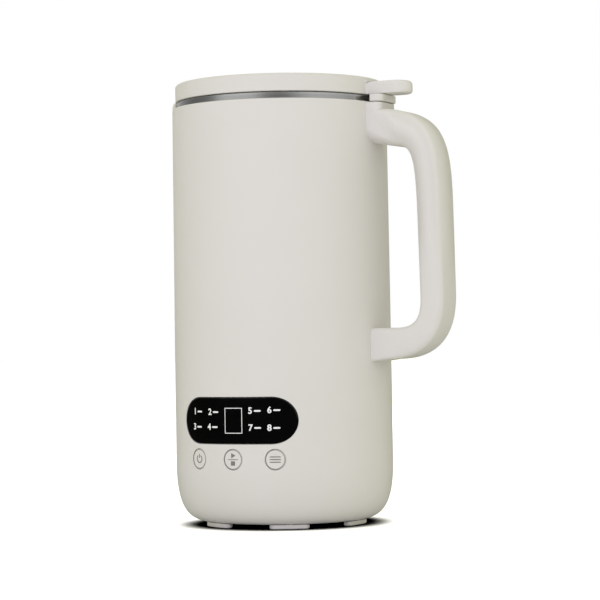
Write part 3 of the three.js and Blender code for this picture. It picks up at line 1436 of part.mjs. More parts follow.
add('inner_cup', innerCup(), 'steel');
add('cup_gasket', cupGasket(), 'silicone');
add('shaft_seal', shaftSeal(), 'silicone');
add('heater_ring', heaterRing(), 'aluminium');
add('temperature_sensor', temperatureSensor(), 'steel');
add('thermal_cutoff', thermalCutoff(), 'nylon');

add('lid_shell', lidShell(), 'cream');
add('lid_liner', lidLiner(), 'steel');
add('lid_seal', lidSeal(), 'silicone');
add('overflow_electrode', overflowElectrode(), 'steel');
add('coupler_block', couplerBlock(), 'cream');
add('coupler_pin_front', couplerPin(-1), 'brass');
add('coupler_pin_back', couplerPin(1), 'brass');

add('panel_lens', panelLens(), 'black');
add('display_module', displayModule(), 'nylon');
add('control_board', controlBoard(), 'board');
for (const [name, side] of [['left', -1], ['center', 0], ['right', 1]]) {
  add(`key_${name}`, keyCap(side), 'cream');
}

add('rotor_shaft', rotorShaft(), 'steel');
add('armature_core', armatureCore(), 'iron');
add('armature_winding', armatureWinding(), 'copper');
add('commutator', commutator(), 'copper');
add('cooling_fan', coolingFan(), 'nylon');
add('blade_spacer', spacer(), 'steel');
add('blade_set', bladeSet(), 'steel');
add('blade_nut', bladeNut(), 'steel');

add('bearing_upper', bearing(upperBearingLow()), 'steel');
add('bearing_lower', bearing(lowerBearingLow()), 'steel');
add('bracket_upper', upperBracket(), 'aluminium');
add('bracket_lower', lowerBracket(), 'aluminium');
add('stator_stack', statorStack(), 'iron');
add('field_coil_front', fieldCoil(-1), 'copper');
add('field_coil_back', fieldCoil(1), 'copper');
for (const [name, side] of [['left', -1], ['right', 1]]) {
  add(`brush_holder_${name}`, brushHolder(side), 'brass');
  add(`carbon_brush_${name}`, carbonBrush(side), 'carbon');
}

add('power_board', powerBoard(), 'board');
add('transformer', boardComponent(TRANSFORMER, BOARD_THICKNESS / 2 + FIT_GAP), 'iron');

add('inlet_socket', inletSocket(), 'nylon');
for (const place of inletPinPlaces) add(place.name, inletPin(place), 'brass');

add('base_cover', baseCover(), 'cream');
for (let i = 0; i < BASE_SCREWS; i += 1) add(`base_screw_${i + 1}`, baseScrew(i), 'steel');
const shellUnderside = underside();
for (let i = 0; i < FOOT_COUNT; i += 1) add(`foot_${i + 1}`, foot(i, shellUnderside), 'cream');

export default root;
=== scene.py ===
import math
from contextlib import contextmanager
from types import SimpleNamespace

import bmesh
import bpy
from mathutils import Matrix, Vector


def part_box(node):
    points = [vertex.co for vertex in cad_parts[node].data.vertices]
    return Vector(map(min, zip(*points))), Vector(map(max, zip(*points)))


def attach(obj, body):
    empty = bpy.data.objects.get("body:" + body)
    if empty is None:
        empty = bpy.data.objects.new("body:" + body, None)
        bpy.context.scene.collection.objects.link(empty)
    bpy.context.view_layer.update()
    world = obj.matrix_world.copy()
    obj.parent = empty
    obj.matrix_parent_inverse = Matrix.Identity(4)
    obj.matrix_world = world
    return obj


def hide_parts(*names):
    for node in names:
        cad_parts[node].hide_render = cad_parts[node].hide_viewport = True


bl_info = {
    "name": "Soy Milk Maker",
    "blender": (4, 5, 0),
    "version": (1, 0, 0),
    "location": "View3D > Sidebar > Soy Milk Maker",
    "description": "Builds the visible pieces of a soy milk maker over its CAD frame",
    "category": "Mesh",
}

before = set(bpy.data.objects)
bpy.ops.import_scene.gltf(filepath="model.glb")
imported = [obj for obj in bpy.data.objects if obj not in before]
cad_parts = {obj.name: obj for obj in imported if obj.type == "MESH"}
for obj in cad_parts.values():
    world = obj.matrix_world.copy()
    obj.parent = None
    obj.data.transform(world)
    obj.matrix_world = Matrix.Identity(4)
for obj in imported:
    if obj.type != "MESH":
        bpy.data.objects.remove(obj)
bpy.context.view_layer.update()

MM = 0.001
GAP = 0.3

# Segments of the large turned pieces, and in millimetres the radius that stands for the axis itself, the radius of
# a screw's hole, how far the lens lies under the wall, and where pins and the electrode stand
ROUND = 192
AXIS = 0.001
SCREW_HOLE = 1.7
LENS_SINK = 0.06
CONTACT_REACH = 4
ELECTRODE_REACH = 32
INLET_PINS = {"line": (-7, -3), "neutral": (7, -3), "earth": (0, 3)}
BASE_SCREWS = 3
KEY_SIDES = {"left": -1, "center": 0, "right": 1}
SOCKET = "lid_contact_socket"
# The run of the corner between the grip's inner edge and the lower arm
LOWER_RUN = 14.5


def low(node, axis):
    """The lower side of a node's box along an axis, in millimetres."""
    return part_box(node)[0][axis] / MM


def high(node, axis):
    """The upper side of a node's box along an axis, in millimetres."""
    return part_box(node)[1][axis] / MM


def length(name, description, default):
    """A length, with its default in millimetres."""
    return bpy.props.FloatProperty(
        name=name, description=description, default=default * MM, unit="LENGTH", subtype="DISTANCE", precision=5
    )


def angle(name, description, default):
    """An angle, with its default in degrees."""
    return bpy.props.FloatProperty(
        name=name, description=description, default=math.radians(default), subtype="ANGLE"
    )


def colour(name, description, default):
    """A colour as an sRGB hex value."""
    return bpy.props.StringProperty(name=name, description=description, default=default)


class MAKER_PG_body(bpy.types.PropertyGroup):
    """Sizes of the body shell, its pour lip and the steel cup"""

    radius: length("Radius", "Outside radius of the body", high("outer_shell", 1))
    rim: length("Rim height", "Height of the body's rim away from the lip", 227.3)
    wall: length("Wall", "Thickness of the body wall", 2.8)
    draft: length("Draft", "How far the wall leans in by the rim", 0.55)
    draft_low: length("Draft start", "Height above which the wall leans in", 70.8)
    curve_height: length("Base curve height", "Height up to which the base's edge curves", 31.5)
    curve_share: bpy.props.FloatProperty(
        name="Base curve flatness", description="Share of the curve's width that stays flat", default=0.5
    )
    base_opening: length("Base opening", "Radius of the hole that the base cover fills", 38)
    lip_reach: length("Lip reach", "How far the pour lip stands out", 5.8)
    lip_rise: length("Lip rise", "How far the lip rises over the rim", 7.8)
    lip_height: length("Lip height", "Height over which the lip grows out of the wall", 9)
    lip_angle: angle("Lip half angle", "Half of the turn that the lip takes up", 25)
    cup_radius: length("Cup radius", "Outside radius of the cup's wall", 54.6)
    band_radius: length("Band radius", "Outside radius of the steel band under the lid", 56.7)
    cup_floor: length("Cup floor", "Height of the cup's underside", 91)
    cup_corner: length("Cup corner", "Radius of the cup's rounded bottom", 12)
    cup_wall: length("Cup wall", "Thickness of the steel", 0.8)
    cup_top: length("Cup top", "Height of the steel band's top", high("inner_cup", 2))


class MAKER_PG_handle(bpy.types.PropertyGroup):
    """Sizes of the D handle and its boss"""

    reach: length("Reach", "Distance of the grip's outside from the body axis", high("handle", 0))
    width: length("Width", "Width of the handle", 22.4)
    root_edge: length("Root edge", "Rounding of the inner edges at the upper root", 8.5)
    inner_edge: length("Inner edge", "Rounding of the grip's inner edges", 2.5)
    outer_edge: length("Outer edge", "Rounding of the grip's outer edges", 3.6)
    lower_inner_edge: length("Lower inner edge", "Rounding of the lower arm's top edges", 3.0)
    lower_outer_edge: length("Lower outer edge", "Rounding of the lower arm's lower edges", 1.8)
    grip: length("Grip depth", "Depth of the vertical grip", 13.2)
    lean: length("Grip lean", "How far the grip leans in at its top", 0.8)
    upper_top: length("Upper arm top", "Height of the upper arm's top", 223.3)
    upper_low: length("Upper arm underside", "Height of the upper arm's underside at the body", 205.2)
    upper_slope: length("Upper arm slope", "How far the underside drops towards the grip", 2.8)
    lower_top: length("Lower arm top", "Height of the lower arm's top", 104.6)
    lower_low: length("Lower arm underside", "Height of the lower arm's underside at the body", 86.1)
    lower_slope: length("Lower arm slope", "How far the underside rises towards the grip", 1.5)
    boss_face: length("Boss face", "Distance of the boss's end from the body axis", 66.6)
    boss_top: length("Boss top", "Height of the boss that carries the coupler", 226.7)
    boss_edge: length("Boss corner", "Rounding of the boss's upright corners", 4.5)
    strip_top: length("Strip top", "Height of the upper end of the strip inside the handle", 168.9)
    cover_wall: length("Cover wall", "Thickness of the strip on the inside of the handle", 2.4)


class MAKER_PG_lid(bpy.types.PropertyGroup):
    """Sizes of the lid, its tab and the coupler"""

    radius: length("Radius", "Outside radius of the lid", 57.7)
    bottom: length("Bottom", "Height of the lid's lower edge", low("lid_shell", 2))
    top: length("Top", "Height of the lid's top", high("lid_shell", 2))
    edge: length("Edge radius", "Rounding of the lid's top edge", 2)
    wall: length("Wall", "Thickness of the lid wall", 2.2)
    tab_reach: length("Tab reach", "Distance of the tab's end from the body axis", high("lid_shell", 0))
    tab_width: length("Tab width", "Width of the tab", 15.5)
    tab_top: length("Tab top", "Height of the tab's top", 238.1)
    coupler_edge: length("Coupler corner", "Rounding of the coupler's upright corners", 4)


class MAKER_PG_panel(bpy.types.PropertyGroup):
    """Sizes of the control panel and the three keys"""

    bottom: length("Bottom", "Height of the panel's lower edge", 44.1)
    height: length("Height", "Height of the panel", 24.7)
    half_angle: angle("Half angle", "Half of the turn that the panel takes up", 34.5)
    cap: length("Cap length", "Length of the panel's rounded ends", 14.3)
    thickness: length("Thickness", "Thickness of the black lens", 1.2)
    window_width: length("Window width", "Width of the display window", 9.5)
    window_height: length("Window height", "Height of the display window", 13.5)
    border_width: length("Border width", "Width of the line round the display", 10.4)
    border_height: length("Border height", "Height of the line round the display", 13.6)
    key_height: length("Key height", "Height of the keys' centres", 35.8)
    key_diameter: length("Key diameter", "Diameter of a key", 10.8)
    key_spread: angle("Key spread", "Turn between two keys", 22.5)


class MAKER_PG_base(bpy.types.PropertyGroup):
    """Sizes of the feet, base cover and mains inlet"""

    foot_drop: length("Foot drop", "How far the feet stand below the body", 2.2)
    foot_ring: length("Foot ring", "Distance of a foot's middle from the body axis", 43.1)
    foot_depth: length("Foot depth", "Size of a foot towards the body axis", 6)
    foot_half_angle: angle("Foot half angle", "Half of the turn that a foot takes up", 14.3)
    feet: bpy.props.IntProperty(name="Feet", description="Number of feet", default=6, min=3, max=12)
    cover_thickness: length("Cover thickness", "Thickness of the base cover", 2.4)
    screw_reach: length("Screw reach", "Distance of a base screw from the body axis", 34.4)
    screw_head: length("Screw head", "Radius of a base screw's head", 2.7)
    inlet_height: length("Inlet height", "Height of the mains inlet's middle", 40)
    inlet_width: length("Inlet width", "Width of the mains inlet", 28)
    inlet_tall: length("Inlet tall", "Height of the mains inlet's frame", 21)


class MAKER_PG_colours(bpy.types.PropertyGroup):
    """Colours of the finishes, as sRGB hex values"""

    cream: colour("Cream plastic", "Body, lid, handle and keys", "DCD9D3")
    black: colour("Panel black", "Gloss lens of the control panel", "030303")
    print_white: colour("White print", "Marks on the panel", "F0F0EE")
    print_grey: colour("Grey print", "Marks on the keys", "7C7A72")
    steel: colour("Stainless steel", "Cup, band, blade and screws", "B9BABA")
    silicone: colour("Silicone", "Seals", "D8D6CE")
    nylon: colour("Nylon", "Inlet, sockets and fan", "232426")
    brass: colour("Brass", "Pins and brush holders", "C2A05A")
    copper: colour("Enamelled copper", "Windings", "A9622F")
    iron: colour("Motor iron", "Laminated cores", "6A6D70")
    board: colour("Circuit board", "Boards under solder mask", "1E5B3A")
    carbon: colour("Carbon", "Motor brushes", "26272A")
    aluminium: colour("Aluminium", "Motor brackets and heater", "C0C2C4")
    studio: colour("Studio", "Backdrop behind the object", "FFFFFF")


GROUPS = {
    "maker_body": MAKER_PG_body,
    "maker_handle": MAKER_PG_handle,
    "maker_lid": MAKER_PG_lid,
    "maker_panel": MAKER_PG_panel,
    "maker_base": MAKER_PG_base,
    "maker_colours": MAKER_PG_colours,
}


def sizes(group):
    """The group's values with its lengths in millimetres, as the mesh code below uses them."""
    values = getattr(bpy.context.scene, "maker_" + group)
    made = {}
    for key, prop in values.bl_rna.properties.items():
        if key in {"rna_type", "name"}:
            continue
        value = getattr(values, key)
        made[key] = value / MM if getattr(prop, "subtype", "") == "DISTANCE" else value
    return SimpleNamespace(**made)


# Mesh helpers, all in millimetres


def smooth_step(value):
    t = min(max(value, 0.0), 1.0)
    return t * t * (3 - 2 * t)


def rounded(points, steps):
    """A polyline whose corners given as (x, y, radius) are replaced by arcs."""
    made = []
    count = len(points)
    for i, point in enumerate(points):
        radius = point[2] if len(point) > 2 else 0
        here = Vector(point[:2])
        if not radius:
            made.append(here)
            continue
        before = (Vector(points[i - 1][:2]) - here).normalized()
        after = (Vector(points[(i + 1) % count][:2]) - here).normalized()
        half = before.angle(after) / 2
        cut = radius / math.tan(half)
        middle = here + (before + after).normalized() * (radius / math.sin(half))
        first, last = here + before * cut - middle, here + after * cut - middle
        turn = first.angle_signed(last)
        for k in range(steps + 1):
            made.append(middle + Matrix.Rotation(-turn * k / steps, 2) @ first)
    return [tuple(p) for p in made]


def arc(centre_x, centre_y, radius, start, end, steps):
    """Points of an arc, angles in degrees."""
    angles = [math.radians(start + (end - start) * k / steps) for k in range(steps + 1)]
    return [(centre_x + radius * math.cos(a), centre_y + radius * math.sin(a)) for a in angles]


def circle(count):
    """The cosine and sine of evenly spaced turns."""
    return [(math.cos(a), math.sin(a)) for a in (2 * math.pi * k / count for k in range(count))]


def around(count, reach, start=0.0):
    """Evenly spaced places on a circle, from a start in degrees."""
    turns = [math.radians(start + 360 * k / count) for k in range(count)]
    return [(reach * math.cos(a), reach * math.sin(a)) for a in turns]


def roll(steps):
    """How far a rounded edge has turned in, and how far it has left to rise, at each step of its quarter turn."""
    return [(1 - math.cos(a), 1 - math.sin(a)) for a in (math.pi / 2 * k / steps for k in range(steps + 1))]


def linked(name, data):
    """A new object in the scene."""
    made = bpy.data.objects.new(name, data)
    bpy.context.scene.collection.objects.link(made)
    return made


def discarded(obj):
    """Removes an object and its mesh."""
    mesh = obj.data
    bpy.data.objects.remove(obj)
    bpy.data.meshes.remove(mesh)


@contextmanager
def edited(mesh):
    """The mesh opened for editing, and written back afterwards."""
    work = bmesh.new()
    work.from_mesh(mesh)
    yield work
    work.to_mesh(mesh)
    work.free()


def new_mesh(name, points, faces):
    """A mesh object at the origin from points in millimetres, merged and facing outwards."""
    mesh = bpy.data.meshes.new(name)
    mesh.from_pydata([tuple(c * MM for c in p) for p in points], [], faces)
    with edited(mesh) as work:
        bmesh.ops.remove_doubles(work, verts=work.verts, dist=1e-7)
        bmesh.ops.dissolve_degenerate(work, edges=work.edges, dist=1e-8)
        bmesh.ops.recalc_face_normals(work, faces=work.faces)
    return linked(name, mesh)


def loft(name, loops, closed=False, cap=None):
    """Skins loops of equal length. The two ends are closed by one face each, or by cap(indices)."""
    count = len(loops[0])
    points = [p for loop in loops for p in loop]
    faces = []
    for row in range(len(loops) if closed else len(loops) - 1):
        a, b = row * count, (row + 1) % len(loops) * count
        faces += [(a + k, a + (k + 1) % count, b + (k + 1) % count, b + k) for k in range(count)]
    if not closed:
        for start in (0, (len(loops) - 1) * count):
            ring = list(range(start, start + count))
            faces += cap(ring) if cap else [ring]
    return new_mesh(name, points, faces)


def ladder(ring):
    """Closes a loop that is its own mirror image by strips between its mirrored points."""
    count = len(ring)
    faces = [(ring[0], ring[1], ring[-1])]
    for k in range(1, count // 2 - 1):
        faces.append((ring[k], ring[k + 1], ring[count - k - 1], ring[count - k]))
    faces.append((ring[count // 2 - 1], ring[count // 2], ring[count // 2 + 1]))
    return faces


def revolve(name, profile, segments):
    """A closed profile of (radius, height) turned about Z."""
    return loft(name, [[(r * c, r * s, z) for r, z in profile] for c, s in circle(segments)], closed=True)


def rounded_box(half_x, half_y, radius, steps):
    """A rounded rectangle about the origin, its own mirror image top to bottom."""
    signs = ((1, 1), (-1, 1), (-1, -1), (1, -1))
    outline = rounded([(half_x * a, half_y * b, radius) for a, b in signs], steps)
    return [(half_x, 0)] + outline[: 2 * steps + 2] + [(-half_x, 0)] + outline[2 * steps + 2 :]


def tongue(near, far, half_width, radius, steps=8):
    """A rectangle from near to far along X whose two far corners are rounded."""
    return rounded([(far, half_width, radius), (near, half_width, 0.4), (near, -half_width, 0.4),
                    (far, -half_width, radius)], steps)


def inset(outline, distance):
    """Moves a closed counter-clockwise outline inwards."""
    moved = []
    count = len(outline)
    for k, point in enumerate(outline):
        before, after = Vector(outline[k - 1]), Vector(outline[(k + 1) % count])
        here = Vector(point)
        first, second = (here - before), (after - here)
        normal = Vector((0.0, 0.0))
        for edge in (first, second):
            if edge.length > 1e-6:
                normal += Vector((-edge.y, edge.x)).normalized()
        normal.normalize()
        moved.append(tuple(here + normal * distance))
    return moved


def pressed(name, outline, bottom, top, edge, low_edge=None, steps=4):
    """An outline in X and Y raised from bottom to top with rounded upper and lower edges."""
    low_edge = edge if low_edge is None else low_edge
    loops = []
    for turned, left in roll(steps):
        loops.append([(x, y, bottom + low_edge * turned) for x, y in inset(outline, low_edge * left)])
    for turned, left in roll(steps):
        loops.append([(x, y, top - edge * left) for x, y in inset(outline, edge * turned)])
    return loft(name, loops)


def shift(obj, x=0, y=0, z=0, turn=None):
    """Moves the mesh itself, so the object stays at the origin."""
    matrix = Matrix.Translation((x * MM, y * MM, z * MM))
    if turn:
        matrix = matrix @ turn
    obj.data.transform(matrix)
    return obj


def joined(name, parts):
    """Several mesh objects made into one."""
    mesh = bpy.data.meshes.new(name)
    with edited(mesh) as work:
        for part in parts:
            work.from_mesh(part.data)
            discarded(part)
    return linked(name, mesh)


def baked(obj):
    """Replaces the object's mesh by the mesh its modifiers give."""
    graph = bpy.context.evaluated_depsgraph_get()
    graph.update()
    mesh = bpy.data.meshes.new_from_object(obj.evaluated_get(graph))
    obj.modifiers.clear()
    old = obj.data
    obj.data = mesh
    bpy.data.meshes.remove(old)
    return obj


def boolean(obj, operation, *others):
    """Cuts or joins other meshes one by one and removes them afterwards."""
    for other in others:
        modifier = obj.modifiers.new("boolean", "BOOLEAN")
        modifier.object = other
        modifier.operation = operation
        modifier.solver = "EXACT"
        modifier.use_self = False
        baked(obj)
        discarded(other)
    return obj


def sharpened(obj, angle):
    """Smooth shading with edges sharper than the angle kept crisp."""
    with edited(obj.data) as work:
        for face in work.faces:
            face.smooth = True
        for edge in work.edges:
            edge.smooth = edge.calc_face_angle(0) < math.radians(angle)
    return obj


def evened(obj):
    """Lets large faces rule the shading, so flat areas next to cuts stay flat."""
    modifier = obj.modifiers.new("normals", "WEIGHTED_NORMAL")
    modifier.keep_sharp = True
    return baked(obj)


def own_normals(obj, rule):
    """Gives the corners of the faces that rule accepts their exact normals, and leaves the others."""
    mesh = obj.data
    current = [Vector(n.vector) for n in mesh.corner_normals]
    made = []
    for polygon in mesh.polygons:
        for k in polygon.loop_indices:
            point = mesh.vertices[mesh.loops[k].vertex_index].co / MM
            exact = rule(point, polygon.normal)
            made.append(exact if exact is not None else current[k])
    mesh.normals_split_custom_set([tuple(n) for n in made])
    return obj


def placed(obj, body, slot, material, *nodes):
    """Gives a finished piece its body and material, and hides the nodes it stands for. Its slot is not used."""
    obj.data.materials.clear()
    obj.data.materials.append(material)
    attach(obj, body)
    if nodes:
        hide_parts(*nodes)
    return obj


def refined(name, body, key, node, width):
    """A copy of a CAD node's mesh with its edges rounded."""
    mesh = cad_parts[node].data.copy()
    mesh.name = name
    with edited(mesh) as work:
        bmesh.ops.remove_doubles(work, verts=work.verts, dist=1e-6)
        bmesh.ops.dissolve_limit(
            work, angle_limit=math.radians(0.5), verts=work.verts, edges=work.edges, delimit={"NORMAL"}
        )
        bmesh.ops.recalc_face_normals(work, faces=work.faces)
    made = linked(name, mesh)
    bevel = made.modifiers.new("bevel", "BEVEL")
    bevel.width = width * MM
    bevel.segments = 3
    bevel.limit_method = "ANGLE"
    bevel.angle_limit = math.radians(28)
    bevel.use_clamp_overlap = True
    baked(made)
    return stands(made, body, key, node, sharp=40, even=True)


# Materials


def linear(hex_value):
    """An sRGB hex value as a linear RGBA colour."""
    made = []
    for k in (0, 2, 4):
        c = int(hex_value[k : k + 2], 16) / 255
        made.append(c / 12.92 if c <= 0.04045 else ((c + 0.055) / 1.055) ** 2.4)
    return (*made, 1.0)


def add_node(tree, kind, inputs=None, **settings):
    """Adds a node. An input may be a value or another node's output socket."""
    made = tree.nodes.new(kind)
    for key, value in settings.items():
        setattr(made, key, value)
    for key, value in (inputs or {}).items():
        socket = made.inputs[key]
        if isinstance(value, bpy.types.NodeSocket):
            tree.links.new(value, socket)
        else:
            socket.default_value = value
    return made


def shaded(value, amount):
    """A linear colour made lighter or darker by a share."""
    return (*(min(1.0, c * (1 + amount)) for c in value[:3]), 1.0)


def emptied(owner):
    """The empty node tree of a material or world."""
    owner.use_nodes = True
    owner.node_tree.nodes.clear()
    return owner.node_tree


def spread(start, end, low_end, high_end):
    """One link of a chain of nodes: it spreads the values from start to end over two other ends."""
    inputs = {"From Min": start, "From Max": end, "To Min": low_end, "To Max": high_end}
    return "ShaderNodeMapRange", "Value", "Result", inputs, {}


def noise(size, detail=3.0, roughness=0.5, stretch=None, ends=None):
    """A chain of nodes: noise with features of about this size in millimetres, spread between two ends."""
    inputs = {"Scale": 1 / size, "Detail": detail, "Roughness": roughness}
    chain = [("ShaderNodeTexNoise", "Vector", "Fac", inputs, {})]
    if stretch:
        chain.insert(0, ("ShaderNodeVectorMath", 0, "Vector", {1: stretch}, {"operation": "MULTIPLY"}))
    return [*chain, spread(0.3, 0.7, *ends)] if ends else chain


def uneven(share, size, rough_low, rough_high, rough_size):
    """Uneven colour and uneven gloss, the two things that any moulded or drawn surface shows."""
    return (noise(size, ends=(0.0, 1.0)), -share, share), noise(rough_size, ends=(rough_low, rough_high))


def banded(scale, distortion, detail):
    """A chain of one node: bands that lie on each other along Z."""
    inputs = {"Scale": scale, "Distortion": distortion, "Detail": detail}
    return [("ShaderNodeTexWave", "Vector", "Fac", inputs, {"bands_direction": "Z"})]


STREAKS = {"detail": 4, "roughness": 0.6, "stretch": (0.02, 0.02, 6.0)}
SHEETS = banded(0.63, 0.2, 1.0)
WIRES = banded(0.6, 1.2, 2.0)
TRACKS = [
    ("ShaderNodeTexVoronoi", "Vector", "Distance", {"Scale": 0.35}, {"feature": "DISTANCE_TO_EDGE"}),
    spread(0.08, 0.12, 1.0, 0.0),
]
INK = (*uneven(0.03, 0.8, 0.5, 0.62, 0.6), (noise(0.2, 2), 0.003))

# Each finish: its slot, the material's name, its colour, the shader's values, the chain that tints it with the shares
# darker and lighter, the chain that gives its roughness, and the chain of its relief with the depth in millimetres
FINISHES = {
    # Injection-moulded ABS with a satin spark-eroded texture: a broad soft highlight and a grain of a third of a
    # millimetre that only close views show
    "cream": ("cream_plastic", "abs_satin_cream", "cream", {"IOR": 1.5, "Subsurface Weight": 0.0},
              *uneven(0.008, 40, 0.40, 0.46, 3), (noise(0.35, 2), 0.006)),
    # Printed acrylic window: deep black under a polished face, with faint waviness from moulding
    "black": ("black_gloss", "acrylic_gloss_black", "black", {"IOR": 1.49},
              *uneven(0.1, 12, 0.05, 0.09, 6), (noise(9, 1), 0.004)),
    # Screen-printed ink: matt, a little uneven in cover
    "print_white": ("black_gloss", "ink_white", "print_white", {"IOR": 1.5}, *INK),
    "print_grey": ("cream_plastic", "ink_grey", "print_grey", {"IOR": 1.5}, *INK),
    # Stainless steel brushed round the cup: fine streaks that run round and change quickly with height
    "brushed": ("brushed_steel", "stainless_brushed", "steel", {"Metallic": 1.0},
                (noise(1.0, **STREAKS, ends=(0.0, 1.0)), -0.12, 0.06), noise(1.0, **STREAKS, ends=(0.18, 0.30)),
                (noise(1.0, **STREAKS), 0.004)),
    # Machined stainless steel for the blade, shaft and screws: brighter, with fine turning marks
    "steel": ("brushed_steel", "stainless_machined", "steel", {"Metallic": 1.0},
              *uneven(0.05, 2.5, 0.16, 0.3, 1.2), (noise(0.5, 2, stretch=(1, 1, 8)), 0.003)),
    # Cast silicone rubber: dull, slightly see-through, a bloom of fine dust
    "silicone": ("silicone", "silicone_seal", "silicone",
                 {"IOR": 1.41, "Subsurface Weight": 0.15, "Subsurface Radius": (1.0, 0.9, 0.8),
                  "Subsurface Scale": MM},
                 *uneven(0.03, 5, 0.55, 0.7, 1), (noise(0.25, 2), 0.005)),
    # Glass-filled nylon: near black with a dry sheen and a visible fibre grain
    "nylon": ("dark_nylon", "nylon_black", "nylon", {"IOR": 1.53},
              *uneven(0.15, 3, 0.42, 0.58, 0.8), (noise(0.4, stretch=(1, 1, 3)), 0.01)),
    # Drawn brass, warm and slightly dulled by handling
    "brass": ("brass", "brass_drawn", "brass", {"Metallic": 1.0},
              *uneven(0.08, 2.0, 0.24, 0.4, 1.0), (noise(0.5), 0.004)),
    # Enamelled copper wire in layers: ridges of wire half a millimetre apart under clear varnish, with painted shade
    # darkening the grooves between them
    "copper": ("copper", "copper_enamelled", "copper", {"Metallic": 1.0, "Coat Weight": 0.5},
               (WIRES, -0.45, 0.15), noise(0.8, ends=(0.25, 0.42)), (WIRES, 0.12)),
    # Bare copper bars of the commutator, polished by the brushes
    "bar_copper": ("copper", "copper_bars", "copper", {"Metallic": 1.0},
                   *uneven(0.12, 1.5, 0.18, 0.34, 0.75), (noise(0.4), 0.004)),
    # Stacked electrical steel: sheets half a millimetre thick, each a slightly different grey
    "iron": ("motor_iron", "iron_laminations", "iron", {"Metallic": 1.0},
             (SHEETS, -0.25, 0.1), noise(1.5, ends=(0.4, 0.62)), (SHEETS, 0.03)),
    # Glass-epoxy board under green solder mask, with paler copper tracks showing through
    "board": ("circuit_board", "board_solder_mask", "board", {"IOR": 1.5},
              (TRACKS, 0.0, 0.8), noise(4, ends=(0.3, 0.42)), (TRACKS, 0.035)),
    # Pressed carbon: dark, dry, with tiny bright specks
    "carbon": ("carbon", "carbon_pressed", "carbon", {"IOR": 1.8},
               *uneven(0.5, 0.3, 0.55, 0.75, 0.4), (noise(0.15), 0.01)),
    # Die-cast aluminium with a fine blasted skin
    "aluminium": ("aluminium", "aluminium_cast", "aluminium", {"Metallic": 1.0},
                  *uneven(0.07, 6.0, 0.36, 0.52, 3.0), (noise(0.5), 0.015)),
}

MATERIALS = {}


def surface(name, colour, values, tint, gloss, relief):
    """A material from a row of FINISHES, in object coordinates in millimetres."""
    made = bpy.data.materials.new(name)
    tree = emptied(made)
    shader = add_node(tree, "ShaderNodeBsdfPrincipled", values)
    add_node(tree, "ShaderNodeOutputMaterial", {"Surface": shader.outputs["BSDF"]})
    place = add_node(tree, "ShaderNodeTexCoord").outputs["Object"]
    place = add_node(tree, "ShaderNodeVectorMath", {0: place, "Scale": 1 / MM}, operation="SCALE").outputs["Vector"]
    ends = []
    for chain in (tint[0], gloss, relief[0]):
        value = place
        for kind, entry, output, inputs, settings in chain:
            value = add_node(tree, kind, {entry: value, **inputs}, **settings).outputs[output]
        ends.append(value)
    base = linear(getattr(sizes("colours"), colour))
    mixed = add_node(tree, "ShaderNodeMix", {"Factor": ends[0]}, data_type="RGBA")
    first, second = (socket for socket in mixed.inputs if socket.type == "RGBA")
    first.default_value, second.default_value = (shaded(base, share) for share in tint[1:])
    tree.links.new(next(socket for socket in mixed.outputs if socket.type == "RGBA"), shader.inputs["Base Color"])
    tree.links.new(ends[1], shader.inputs["Roughness"])
    bump = add_node(tree, "ShaderNodeBump", {"Height": ends[2], "Distance": relief[1] * MM, "Strength": 1.0})
    tree.links.new(bump.outputs["Normal"], shader.inputs["Normal"])
    return made


def finish(key):
    """The material of that key, made on its first use."""
    if key not in MATERIALS:
        MATERIALS[key] = surface(*FINISHES[key][1:])
    return MATERIALS[key]


def stands(obj, body, key, *nodes, sharp=None, even=False):
    """Gives a piece crisp edges past an angle, even shading, its body and its finish."""
    if sharp:
        sharpened(obj, sharp)
    if even:
        evened(obj)
    return placed(obj, body, FINISHES[key][0], finish(key), *nodes)


# Body


def wall_radius(body, z):
    """The outside radius of the body's wall, which leans in a little above the panel."""
    share = (z - body.draft_low) / (body.rim - body.draft_low)
    return body.radius - body.draft * min(max(share, 0.0), 1.0)


def base_curve(body, moved, steps):
    """The edge of the base from the opening up to the straight wall, moved inwards."""
    across = body.radius - body.base_opening - moved
    side = body.radius - moved
    return cubic((body.base_opening, moved), (body.base_opening + across * body.curve_share, moved),
                 (side, moved), (side, body.curve_height), steps)


def lip_shift(body, reach, rise):
    """A function that moves one point of the rim out into the pour lip."""

    def moved(point):
        x, y, z = point
        radius = math.hypot(x, y)
        bottom = body.rim - body.lip_height
        turn = abs(math.atan2(y, -x)) / body.lip_angle if radius else 1
        if z <= bottom or turn >= 1:
            return point
        around = math.cos(turn * math.pi / 2) ** 2
        share = min((z - bottom) / body.lip_height, 1.0)
        out = reach * around * smooth_step(share)
        lift = rise * around * share ** 2
        return (x * (radius + out) / radius, y * (radius + out) / radius, z + lift)

    return moved


def warp(obj, moved):
    for vertex in obj.data.vertices:
        vertex.co = Vector(moved(tuple(vertex.co / MM))) * MM
    return obj


def wall_point(x, z, radius):
    """A point in front of the body on a wall of this radius."""
    return (x, -math.sqrt(max(radius * radius - x * x, 0)), z)


def wall_loft(name, levels):
    """Skins outlines in X and Z that each lie on a round wall of their own radius."""
    return loft(name, [[wall_point(x, z, r) for x, z in outline] for outline, r in levels], cap=ladder)


def pill(margin, steps=16):
    """The panel's outline in X and Z, its own mirror image top to bottom."""
    panel, body = sizes("panel"), sizes("body")
    reach = body.radius * panel.half_angle + margin
    half, cap = panel.height / 2 + margin, panel.cap + margin
    middle = panel.bottom + panel.height / 2
    straight = 28
    flat = [(reach - cap + cap * math.cos(a), half * math.sin(a))
            for a in (math.pi / 2 * k / steps for k in range(steps + 1))]
    span = reach - cap
    top = flat + [(span - 2 * span * k / straight, half) for k in range(1, straight)]
    top += [(-x, y) for x, y in reversed(flat)]
    loop = top + [(x, -y) for x, y in reversed(top[1:-1])]
    return [(body.radius * math.sin(s / body.radius), middle + t) for s, t in loop]


